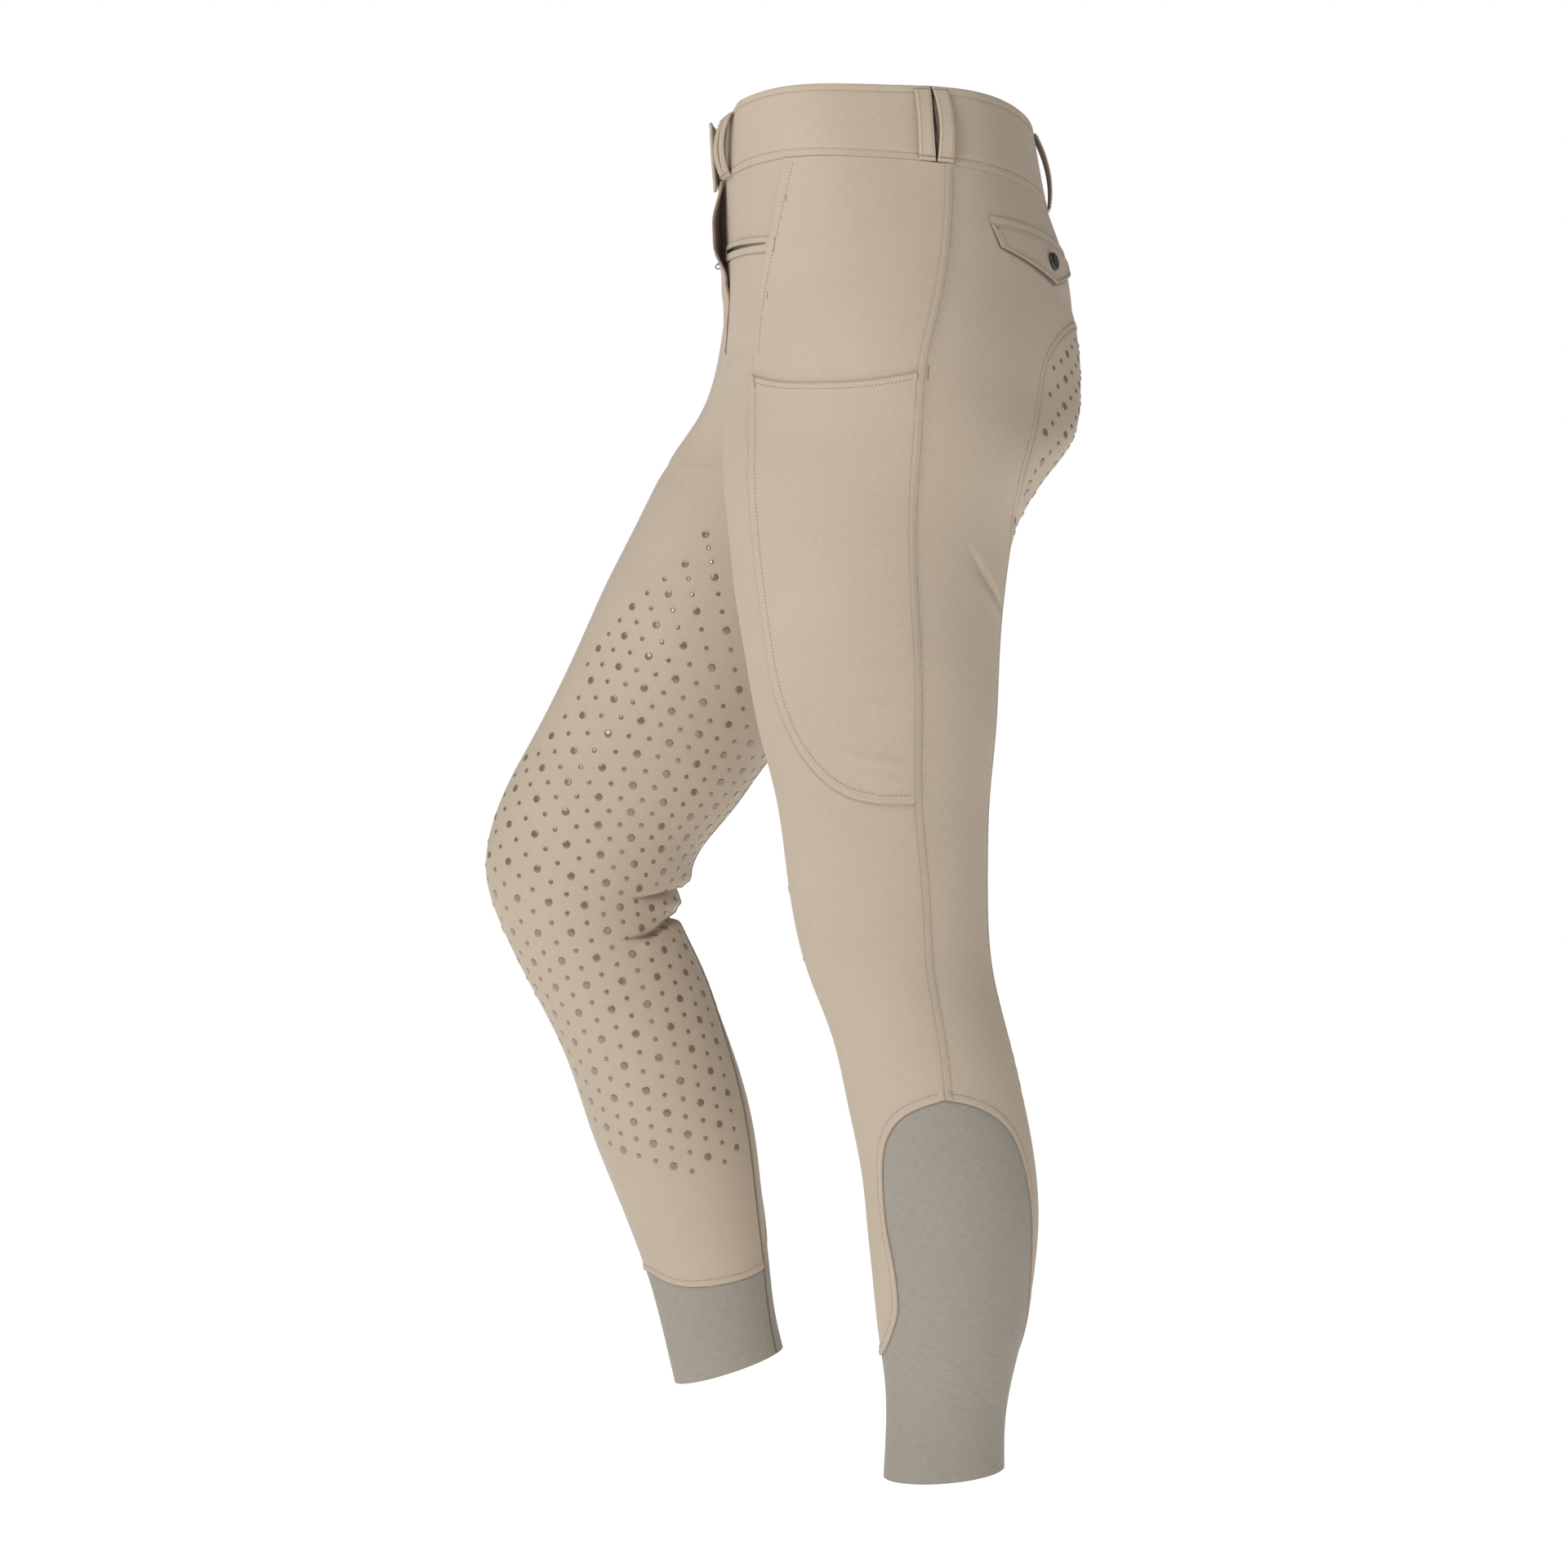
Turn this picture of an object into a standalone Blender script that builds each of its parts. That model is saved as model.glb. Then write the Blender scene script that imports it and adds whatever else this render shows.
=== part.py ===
"""Full-seat riding breeches, filled out as worn, with the right leg stepping forward.

Metres, +Z up. The wearer faces -Y and the wearer's left is +X. The origin is the
middle of the waistband's top edge.

A place on the cloth is given by two numbers. "down" is the distance from the waist's
top edge along the outside of the leg. "bearing" is the direction around the section
in degrees: -90 is the front, 0 the outer side, 90 the back and 180 the inner side.
"""
import math

import bpy
import numpy as np
from mathutils import Vector
from mathutils.geometry import delaunay_2d_cdt

GAP = 0.0003              # between any two pieces
CLOTH = 0.0016            # wall of the panels
PATCH = 0.0011            # wall of what is sewn on a panel
BAND = 0.0026             # folded waistband
BAND_PROUD = 0.0008       # how far the band stands out of the panels
BAND_HEIGHT = 0.050
CROTCH_DOWN = 0.275
HEM_DOWN = 0.936
CELL = 0.021              # size of the cloth's facets
SEAM_STEP = 0.018         # the same along seams
FINE_CELL = 0.009         # the same where the knee folds
LAYOUT_RADIUS = 0.090     # turns a bearing into a length when the pieces are laid out
NUDGE = 0.002             # step that finds the direction out of the cloth

# The centre seams, in the plane between the legs: distance down, y, z.
CENTRE_FRONT = (
    (0.000, -0.1105, -0.002), (0.050, -0.1075, -0.0485), (0.100, -0.1052, -0.103),
    (0.150, -0.1050, -0.153), (0.185, -0.1030, -0.190), (0.215, -0.0930, -0.219),
    (0.240, -0.0700, -0.241), (0.260, -0.0410, -0.2525), (0.275, -0.0120, -0.255),
)
CENTRE_BACK = (
    (0.000, 0.1105, -0.008), (0.050, 0.1210, -0.0650), (0.090, 0.1320, -0.098),
    (0.130, 0.1385, -0.141), (0.170, 0.1350, -0.183), (0.205, 0.1180, -0.216),
    (0.235, 0.0820, -0.242), (0.257, 0.0380, -0.254), (0.275, -0.0120, -0.255),
)

# Sections of each leg: distance down, front y, front z, back y, back z.
SECTIONS = {
    "L": (
        (0.000, -0.1105, -0.002, 0.1105, -0.008), (0.050, -0.1075, -0.0485, 0.1210, -0.0650),
        (0.100, -0.1052, -0.102, 0.1350, -0.107), (0.150, -0.1058, -0.152, 0.1420, -0.158),
        (0.195, -0.1068, -0.197, 0.1405, -0.199), (0.235, -0.1066, -0.237, 0.1300, -0.238),
        (0.265, -0.1050, -0.267, 0.1095, -0.266), (0.290, -0.1025, -0.291, 0.0955, -0.290),
        (0.335, -0.0979, -0.335, 0.0850, -0.335), (0.380, -0.0907, -0.380, 0.0811, -0.380),
        (0.430, -0.0815, -0.430, 0.0788, -0.430), (0.479, -0.0691, -0.479, 0.0744, -0.479),
        (0.512, -0.0641, -0.512, 0.0733, -0.512), (0.550, -0.0590, -0.550, 0.0733, -0.548),
        (0.595, -0.0478, -0.596, 0.0765, -0.593), (0.634, -0.0325, -0.636, 0.0855, -0.632),
        (0.680, -0.0215, -0.682, 0.0970, -0.677), (0.734, -0.0109, -0.736, 0.1066, -0.731),
        (0.767, -0.0076, -0.769, 0.1082, -0.764), (0.800, -0.0042, -0.802, 0.1055, -0.797),
        (0.837, -0.0004, -0.839, 0.0994, -0.834), (0.875, 0.0043, -0.877, 0.0905, -0.871),
        (0.905, 0.0046, -0.907, 0.0860, -0.900), (0.936, 0.0030, -0.937, 0.0855, -0.930),
    ),
    "R": (
        (0.000, -0.1105, -0.002, 0.1105, -0.008), (0.050, -0.1075, -0.0485, 0.1210, -0.0650),
        (0.100, -0.1058, -0.099, 0.1350, -0.107), (0.150, -0.1100, -0.142, 0.1420, -0.158),
        (0.200, -0.1210, -0.182, 0.1380, -0.208), (0.240, -0.1370, -0.212, 0.1190, -0.253),
        (0.275, -0.1530, -0.238, 0.0900, -0.296), (0.320, -0.1720, -0.275, 0.0440, -0.344),
        (0.380, -0.1966, -0.3235, -0.0490, -0.4226), (0.450, -0.2267, -0.3897, -0.0965, -0.479),
        (0.490, -0.2510, -0.437, -0.1158, -0.5027), (0.520, -0.2676, -0.468, -0.1279, -0.5192),
        (0.553, -0.2820, -0.510, -0.1370, -0.5397), (0.575, -0.2827, -0.5403, -0.1436, -0.5523),
        (0.603, -0.2689, -0.5795, -0.1418, -0.568), (0.645, -0.2478, -0.6216, -0.1255, -0.6023),
        (0.686, -0.2267, -0.6637, -0.1123, -0.636), (0.735, -0.2085, -0.7160, -0.0972, -0.6788),
        (0.784, -0.1922, -0.7585, -0.0857, -0.7265), (0.832, -0.1728, -0.8070, -0.0796, -0.7785),
        (0.870, -0.1610, -0.8420, -0.0752, -0.8175), (0.903, -0.1530, -0.8730, -0.0711, -0.8535),
        (0.936, -0.1448, -0.9082, -0.0647, -0.8829),
    ),
}

# Reach of both legs to the side: distance down, inner x, outer x.
WIDTHS = (
    (0.000, 0.0000, 0.1350), (0.050, 0.0000, 0.1440), (0.100, 0.0000, 0.1570), (0.150, 0.0000, 0.1675),
    (0.200, 0.0000, 0.1730), (0.240, 0.0000, 0.1735), (0.275, 0.0004, 0.1720), (0.305, 0.0040, 0.1705),
    (0.340, 0.0100, 0.1680), (0.380, 0.0165, 0.1640), (0.430, 0.0240, 0.1570), (0.490, 0.0305, 0.1480),
    (0.520, 0.0320, 0.1460), (0.550, 0.0330, 0.1435), (0.600, 0.0340, 0.1410), (0.640, 0.0335, 0.1420),
    (0.690, 0.0320, 0.1440), (0.735, 0.0320, 0.1440), (0.780, 0.0345, 0.1415), (0.830, 0.0415, 0.1335),
    (0.870, 0.0465, 0.1275), (0.905, 0.0495, 0.1245), (0.936, 0.0495, 0.1245),
)
CENTRE_REACH = math.radians(95)   # how far around the pull of a centre seam is felt
INNER_FADE = 0.085                # how far below the crotch it is felt
CENTRE_STRETCH = 1.015            # the centre seams lie this much further out than their share
LEG_TURNS = (40, 90)              # bearings from the outer side over which the hip turns into the leg
LEG_DOWN = 0.195                  # from here down the whole section does
WAIST_FULL = 0.12                 # how much squarer than an oval the waist is at its corners
WAIST_FADE = 0.14                 # how far down that is felt

# The largest folds: side, distance down and bearing of both ends, half width, depth.
FOLDS = (
    ("R", 0.578, 160, 0.566, 90, 0.0050, 0.0035),
    ("R", 0.611, 168, 0.598, 92, 0.0065, 0.0075),
    ("L", 0.281, 52, 0.289, 96, 0.0070, 0.0030),
    ("R", 0.284, 54, 0.292, 98, 0.0070, 0.0025),
)

# Seams and edges: distance down, bearing.
SIDE_SEAM = (
    (0.050, 18), (0.100, 12), (0.150, 6.5), (0.200, 2.5), (0.235, 4), (0.275, 10), (0.340, 15.5),
    (0.410, 17), (0.480, 15.5), (0.545, 18), (0.620, 12), (0.677, 4.5),
)
PANEL_EDGE = (
    (0.050, -38), (0.090, -45.5), (0.125, -51), (0.190, -55), (0.270, -56), (0.360, -54.5),
    (0.405, -53.5), (0.430, -49), (0.450, -42), (0.467, -31), (0.477, -18), (0.481, -4),
)
WING_SEAM = (
    (0.141, 90), (0.143, 78), (0.149, 67), (0.158, 59), (0.172, 52), (0.190, 48.5), (0.211, 48),
    (0.230, 49), (0.251, 54), (0.278, 66), (0.298, 76), (0.324, 86), (0.370, 89), (0.450, 90),
    (0.600, 89), (0.670, 96), (0.715, 103.5), (0.745, 108), (0.765, 110.5), (0.800, 113),
    (0.838, 113.8), (0.873, 114.3),
)
CUFF_BACK = ((0.873, 114.3), (0.900, 115.5), (0.936, 118))
CUFF_FRONT = ((0.853, -88), (0.880, -90), (0.936, -92))
CALF_FRONT = (
    (0.677, 4.5), (0.681, -10), (0.687, -24), (0.697, -36), (0.710, -45), (0.726, -50.5),
    (0.745, -53), (0.765, -52), (0.785, -48.5), (0.805, -46.5), (0.818, -47), (0.829, -52),
    (0.842, -63), (0.850, -77), (0.853, -88),
)
CALF_BACK = (
    (0.677, 4.5), (0.682, 22), (0.690, 36), (0.701, 47), (0.715, 54), (0.733, 58.5), (0.752, 61.5),
    (0.776, 64), (0.800, 68), (0.826, 76), (0.841, 82.5), (0.852, 90), (0.864, 102), (0.873, 114.3),
)
CUFF_TOP = (
    (0.853, -88), (0.851, -104), (0.854, -120), (0.862, -140), (0.868, -160), (0.8715, -180),
    (0.8735, -202), (0.874, -225), (0.873, -245.7),
)
POCKET_MOUTH = ((0.1905, -55), (0.1990, -42), (0.2035, -26), (0.2032, -10), (0.1985, 2.6))
POCKET_OVERLAP = 0.014
FLY_EDGE = (
    (0.050, -76), (0.110, -76), (0.135, -77), (0.151, -80.5), (0.1585, -84.5), (0.1612, -88), (0.1615, -90),
)
FLY_SET_BACK = 3.5        # bearing by which the left front stays clear of the fly's root
FLY_CLEAR = ((BAND_HEIGHT, FLY_SET_BACK - 90), (0.1583, FLY_SET_BACK - 90), (0.1617, -90))
FLY_LIFT = 0.0033         # how far the fly stands off over the zip
FLY_LOW_LIFT = 0.0019     # the same below the zip
FLY_SHUT = (0.117, 0.131)                  # where it comes down from one to the other
FLY_BULGE = 0.0080
FLY_MOUTH = (0.048, 0.078, 0.092, 0.114)   # where the free edge gapes: starts, full, full, ends
FLY_RISE_TURNS = 3        # roots' widths over which the gape grows
TAPE = 0.0008             # wall of the zip's tape
TAPE_SIDES = (-82.6, -86.2)
TAPE_ENDS = (0.052, 0.114)
TAPE_STEPS = 8
WELT_TOP = ((0.0980, -47.2), (0.0955, -56), (0.0925, -69), (0.0906, -81))
WELT_LOW = ((0.1080, -48.9), (0.1055, -57), (0.1027, -69), (0.1009, -81))
SLIT_TOP = ((0.1012, -49.1), (0.0986, -58), (0.0953, -70), (0.0936, -79.5))
SLIT_LOW = ((0.1024, -49.3), (0.1006, -58), (0.0980, -70), (0.0962, -79.5))
BACK_WELT = ((0.0855, 29.5), (0.0855, 45), (0.0870, 60), (0.0895, 79))
FLAP_TOP = ((0.0920, 29.5), (0.0918, 45), (0.0935, 60), (0.0960, 79))
FLAP_EDGE = ((0.0920, 29.5), (0.1078, 31.5), (0.1222, 56.5), (0.1082, 75), (0.0960, 79))
FLAP_LIFT = 0.0012        # how far the flap's tip stands off
CUFF_SPLIT = 5            # row of CUFF_TOP that lies on the inner line
SEAM_AT_FOOT = 15.4       # bearing of the side seam at the pocket's foot
FINE_WINDOW = (0.545, 0.635, 0.13, 0.29)   # down from, to, layout x from, to
TOP_CELLS = 15            # facets along one side of the waist
HEM_CELLS = 27
CLEAR_OF_LINES = 0.55     # least share of a cell between a facet's corner and a seam
SHARP_CORNER = 0.3        # edges that meet below this aren't mitred
PAST_CENTRE = 100         # bearing, and a distance beyond the edges, that lie outside every piece
BEYOND = 0.01
BUTTON_PLACE = (0.1085, 55.5)
BUTTON_RADIUS = 0.0062
BUTTON_HEIGHT = 0.0026
BUTTON_CLEAR = 0.0004
BUTTON_STEPS = 20
BUTTON_RINGS = ((1.0, 0.0), (1.0, 0.45), (0.86, 0.8), (0.5, 1.0))   # share of radius, of height

# Belt loops: name, turn of the edges of each strap around the band from the centre front, and
# the turn gained on the way down.
LOOPS = (
    ("belt_loop_front", (18.4, 22.8, 23.3, 27.7), -5.7),
    ("belt_loop_side", (101.0, 106.6, 107.1, 112.7), -2.0),
)
LOOP_BACK = ("belt_loop_back", (176.0, 184.0), 0.0)
LOOP_PART = 1.5           # turn by which the two straps of a double loop bow apart
LOOP_STEPS = 10
LOOP_TOP = 0.0015
LOOP_FOOT = 0.0492
LOOP_RISE = 0.0060
LOOP_ROUND = 0.75         # below 1 a loop leaves the band steeply
LOOP_WALL = 0.0016

# The band's right end laps over its left end: turns at which it starts to rise, is up, and stops.
BAND_START = 4.0
BAND_STEP = 7.0
BAND_DIP = 0.0048         # how much lower the top edge lies across the front
DIP_TURNS = (25.0, 32.0)  # turns from the centre front over which it comes up again
LAP_START = 357.0
LAP_UP = 363.5
LAP_END = 372.0
LAP_STEP = 1.5
LAP_RISE = 0.0046
LAP_GAPE = 0.0040
LAP_DROOP = 0.0062        # how far the free end hangs below the band
DROOP_TURNS = (367.5, 371.5)

SAND = (0.52, 0.44, 0.35)
TAUPE = (0.36, 0.335, 0.29)
ROSE_BROWN = (0.42, 0.27, 0.22)
GUNMETAL = (0.12, 0.12, 0.13)


def clear_scene():
    """Take every object out of the open scene."""
    for item in list(bpy.data.objects):
        bpy.data.objects.remove(item, do_unlink=True)


def finish(name, colour, roughness, metallic=0.0):
    """A plain Principled material."""
    material = bpy.data.materials.new(name)
    material.use_nodes = True
    shader = material.node_tree.nodes["Principled BSDF"]
    shader.inputs["Base Color"].default_value = (*colour, 1.0)
    shader.inputs["Roughness"].default_value = roughness
    shader.inputs["Metallic"].default_value = metallic
    material.diffuse_color = (*colour, 1.0)
    return material


def add_object(name, points, faces, material):
    """Make one closed mesh into a named object."""
    mesh = bpy.data.meshes.new(name)
    mesh.from_pydata([tuple(p) for p in points], [], faces)
    mesh.update()
    mesh.shade_smooth()
    mesh.set_sharp_from_angle(angle=math.radians(40))
    mesh.materials.append(material)
    item = bpy.data.objects.new(name, mesh)
    bpy.context.collection.objects.link(item)
    return item


# ---------------------------------------------------------------- the worn form

def smooth_step(share):
    """0 to 1 with a soft start and end."""
    share = np.clip(share, 0.0, 1.0)
    return share * share * (3.0 - 2.0 * share)


def curve_through(table):
    """Smooth curve through a table's rows, read by its first column."""
    rows = np.array(table, float)
    at, values = rows[:, 0], rows[:, 1:]
    gaps = np.diff(at)
    climb = np.diff(values, axis=0) / gaps[:, None]
    system, right = np.zeros((len(at), len(at))), np.zeros_like(values)
    for i, gap in enumerate(gaps):
        system[i:i + 2, i:i + 2] += np.array(((2, 1), (1, 2))) / gap
        right[i:i + 2] += 3 * climb[i] / gap
    slopes = np.linalg.solve(system, right)

    def read(place):
        place = np.atleast_1d(np.asarray(place, float))
        i = np.clip(np.searchsorted(at, place, side="right") - 1, 0, len(at) - 2)
        step = (at[i + 1] - at[i])[:, None]
        t = np.clip((place - at[i])[:, None] / step, 0.0, 1.0)
        return (values[i] * (1 + 2 * t) * (1 - t) ** 2 + values[i + 1] * t * t * (3 - 2 * t)
                + slopes[i] * step * t * (1 - t) ** 2 - slopes[i + 1] * step * t * t * (1 - t))
    return read


width_at = curve_through(WIDTHS)
centre_at = (curve_through(CENTRE_FRONT), curve_through(CENTRE_BACK))
section_at = {side: curve_through(rows) for side, rows in SECTIONS.items()}


def section_frame(side, down):
    """Middle, half depth and direction from front to back of the sections."""
    rows = section_at[side](down)
    front, back = rows[:, :2], rows[:, 2:]
    half = np.linalg.norm(back - front, axis=1) / 2
    return (front + back) / 2, half, (back - front) / (2 * half[:, None])


def centre_ends(side, down):
    """Where the centre seams meet each section, as an angle, and the pull they add."""
    down = np.atleast_1d(np.asarray(down, float))
    held = np.minimum(down, CROTCH_DOWN)
    middle, half, way = section_frame(side, held)
    fade = 1 - smooth_step((down - CROTCH_DOWN) / INNER_FADE)
    ends = []
    for centre in centre_at:
        place = centre(held)
        share = np.clip(np.sum((place - middle) * way, axis=1) / half * CENTRE_STRETCH, -1, 1)
        pull = place - (middle + (share * half)[:, None] * way)
        ends.append((share * fade, pull * fade[:, None]))
    (front, front_pull), (back, back_pull) = ends
    return -(math.pi + np.arcsin(front)), math.pi - np.arcsin(back), front_pull, back_pull


def smooth_form(side, angle, down):
    """Points of the garment's outer face before folds."""
    middle, half, way = section_frame(side, down)
    start, end, front_pull, back_pull = centre_ends(side, down)
    inner, outer = width_at(down).T
    cut = np.abs(np.cos(np.where(angle < 0, start, end)))
    turned = smooth_step((np.abs(np.degrees(angle)) - LEG_TURNS[0]) / (LEG_TURNS[1] - LEG_TURNS[0]))
    lower = smooth_step((down - LEG_DOWN) / (CROTCH_DOWN - LEG_DOWN))
    cut = cut * (turned + (1 - turned) * lower)
    above = down <= CROTCH_DOWN
    reach = np.where(above, outer / (1 + cut), (outer - inner) / 2)
    fullness = 1 + WAIST_FULL * np.sin(2 * angle) ** 2 * (1 - smooth_step(down / WAIST_FADE))
    x = np.maximum((outer - reach + reach * np.cos(angle)) * fullness, GAP / 2)
    yz = middle + (np.sin(angle) * half)[:, None] * way
    near_front = np.clip(1 - (angle - start) / CENTRE_REACH, 0, 1) ** 2
    near_back = np.clip(1 - (end - angle) / CENTRE_REACH, 0, 1) ** 2
    yz = yz + near_front[:, None] * front_pull + near_back[:, None] * back_pull
    return np.column_stack([x if side == "L" else -x, yz])


def fold_depth(side, angle, down):
    """Depth of the troughs at each place."""
    depth = np.zeros(len(angle))
    bearing = np.degrees(angle)
    for fold_side, down_a, bearing_a, down_b, bearing_b, half_width, deep in FOLDS:
        if fold_side != side:
            continue
        along = (bearing - bearing_a) / (bearing_b - bearing_a)
        line = down_a + (down_b - down_a) * along
        taper = smooth_step(4 * along) * smooth_step(4 * (1 - along))
        depth += deep * taper * np.exp(-((down - line) / half_width) ** 2)
    return depth


def outward(side, angle, down):
    """Directions straight out of the cloth."""
    points = smooth_form(side, angle, down)
    around = smooth_form(side, angle + NUDGE / LAYOUT_RADIUS, down) - points
    along = smooth_form(side, angle, down + NUDGE) - points
    normal = np.cross(along, around) if side == "L" else np.cross(around, along)
    return normal / np.maximum(np.linalg.norm(normal, axis=1), 1e-9)[:, None]


def form(side, angle, down):
    """Points of the garment's outer face, with its largest folds."""
    points = smooth_form(side, angle, down)
    return points - outward(side, angle, down) * fold_depth(side, angle, down)[:, None]


# ---------------------------------------------------------- laying out the pieces

def flat(bearing, down):
    """A place in the layout, from its bearing and distance down."""
    return np.array([math.radians(bearing) * LAYOUT_RADIUS, down])


def spaced(table, step=SEAM_STEP):
    """Even points along the smooth line through rows of distance down and bearing."""
    rows = np.array([flat(bearing, down) for down, bearing in table])
    travel = np.concatenate([[0], np.cumsum(np.linalg.norm(np.diff(rows, axis=0), axis=1))])
    line = curve_through(np.column_stack([travel, rows]))
    count = max(1, round(travel[-1] / step))
    return line(np.linspace(0, travel[-1], count + 1))


def straight(table, step=SEAM_STEP):
    """Even points along straight runs between the rows."""
    runs = [spaced(table[i:i + 2], step) for i in range(len(table) - 1)]
    return np.vstack([run[:-1] for run in runs] + [runs[-1][-1:]])


def met_by(line, point):
    """The line with its nearest point moved onto the end of another line."""
    line = line.copy()
    line[np.argmin(np.linalg.norm(line - point, axis=1))] = point
    return line


def inside(points, loop):
    """Which points lie inside a closed outline."""
    result = np.zeros(len(points), bool)
    x, y = points.T
    for (ax, ay), (bx, by) in zip(loop, np.roll(loop, -1, axis=0)):
        if ay == by:
            continue
        crosses = (ay > y) != (by > y)
        result ^= crosses & (x < ax + (y - ay) * (bx - ax) / (by - ay))
    return result


def cut_lines(side):
    """Every seam and edge of one side, as lines in the layout."""
    turn = np.array([2 * math.pi * LAYOUT_RADIUS, 0])
    lines = {
        "side_seam": spaced(SIDE_SEAM), "panel_edge": spaced(PANEL_EDGE), "wing": spaced(WING_SEAM),
        "cuff_back": spaced(CUFF_BACK), "cuff_front": spaced(CUFF_FRONT),
        "calf_front": spaced(CALF_FRONT), "calf_back": spaced(CALF_BACK),
        "cuff_top_front": spaced(CUFF_TOP[:CUFF_SPLIT + 1]),
        "cuff_top_back": spaced(CUFF_TOP[CUFF_SPLIT:]) + turn,
        "mouth": spaced(POCKET_MOUTH),
        "welt": np.vstack([spaced(WELT_TOP), spaced(WELT_LOW)[::-1], spaced(WELT_TOP)[:1]]),
        "slit": np.vstack([spaced(SLIT_TOP), spaced(SLIT_LOW)[::-1], spaced(SLIT_TOP)[:1]]),
        "flap_top": spaced(FLAP_TOP), "flap_edge": straight(FLAP_EDGE),
        "back_welt": np.vstack([spaced(BACK_WELT), spaced(FLAP_TOP)[::-1], spaced(BACK_WELT)[:1]]),
    }
    lines["panel_foot"] = straight((PANEL_EDGE[-1], (PANEL_EDGE[-1][0], SEAM_AT_FOOT)))
    lines["side_seam"] = met_by(lines["side_seam"], lines["panel_foot"][-1])
    for end in (0, -1):
        name = ("panel_edge", "side_seam")[end]
        lines[name] = met_by(lines[name], lines["mouth"][end])
    under = lines["mouth"] + [0, POCKET_OVERLAP]
    for end in (0, -1):
        name = ("panel_edge", "side_seam")[end]
        near = lines[name][np.argmin(np.linalg.norm(lines[name] - under[end], axis=1))]
        under[end] = near
    lines["under_mouth"] = under
    lines["cuff_back"] = met_by(lines["cuff_back"], lines["cuff_top_back"][-1])
    if side == "L":
        lines["fly_clear"] = straight(FLY_CLEAR)
        lines["fly_edge"] = spaced(FLY_EDGE)
    return lines


def regions(side, lines):
    """Which places in the layout belong to each piece."""
    def loop(*names):
        runs = [lines[name.lstrip("-")][::-1] if name[0] == "-" else lines[name] for name in names]
        return np.vstack(runs)

    back_edge = np.array([flat(PAST_CENTRE, BAND_HEIGHT - BEYOND), flat(PAST_CENTRE, WING_SEAM[0][0])])
    above = np.array([flat(SIDE_SEAM[0][1], BAND_HEIGHT - BEYOND)])
    hem = np.array([flat(CUFF_BACK[-1][1], HEM_DOWN + BEYOND), flat(CUFF_FRONT[-1][1], HEM_DOWN + BEYOND)])
    back = np.vstack([above, back_edge, loop("wing", "-calf_back", "-side_seam")])
    calf = np.vstack([loop("calf_back", "cuff_back"), hem, loop("-cuff_front", "-calf_front")])
    patch = np.vstack([above, loop("side_seam"), loop("-panel_foot", "-panel_edge"),
                       [flat(PANEL_EDGE[0][1], BAND_HEIGHT - BEYOND)]])
    foot = PANEL_EDGE[-1][0]
    mouth, under = lines["mouth"], lines["under_mouth"]
    cuff_front, cuff_back = lines["cuff_top_front"][::-1], lines["cuff_top_back"][::-1]

    def belongs(points):
        x, down = points.T
        seam_side = inside(points, patch) & (down < foot)
        on_calf = inside(points, calf)
        on_back = inside(points, back)
        brim = np.where(x < 0, np.interp(x, *cuff_front.T), np.interp(x, *cuff_back.T))
        on_cuff = (down > brim) & ~on_calf & ~on_back
        found = {
            "calf_panel": on_calf, "back": on_back & ~on_calf, "cuff": on_cuff,
            "side_panel": seam_side & (down < np.interp(x, *under.T)),
            "phone_pocket": seam_side & (down > np.interp(x, *mouth.T)),
            "front_pocket_welt": inside(points, lines["welt"]) & ~inside(points, lines["slit"]),
            "pocket_flap": inside(points, np.vstack([lines["flap_top"], lines["flap_edge"][::-1]])),
            "pocket_welt": inside(points, lines["back_welt"]),
        }
        found["front"] = ~(on_calf | on_back | on_cuff)
        if side == "L":
            root = np.array([flat(-PAST_CENTRE, BAND_HEIGHT - BEYOND), flat(-PAST_CENTRE, FLY_EDGE[-1][0])])
            top_out = np.array([flat(FLY_EDGE[0][1], BAND_HEIGHT - BEYOND)])
            found["fly"] = inside(points, np.vstack([root, lines["fly_edge"][::-1], top_out]))
            clear = lines["fly_clear"]
            shut = np.array([flat(-PAST_CENTRE, clear[-1, 1]), flat(-PAST_CENTRE, BAND_HEIGHT - BEYOND),
                             flat(FLY_CLEAR[0][1], BAND_HEIGHT - BEYOND)])
            found["front"] &= ~inside(points, np.vstack([clear, shut]))
        return found
    return belongs


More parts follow.
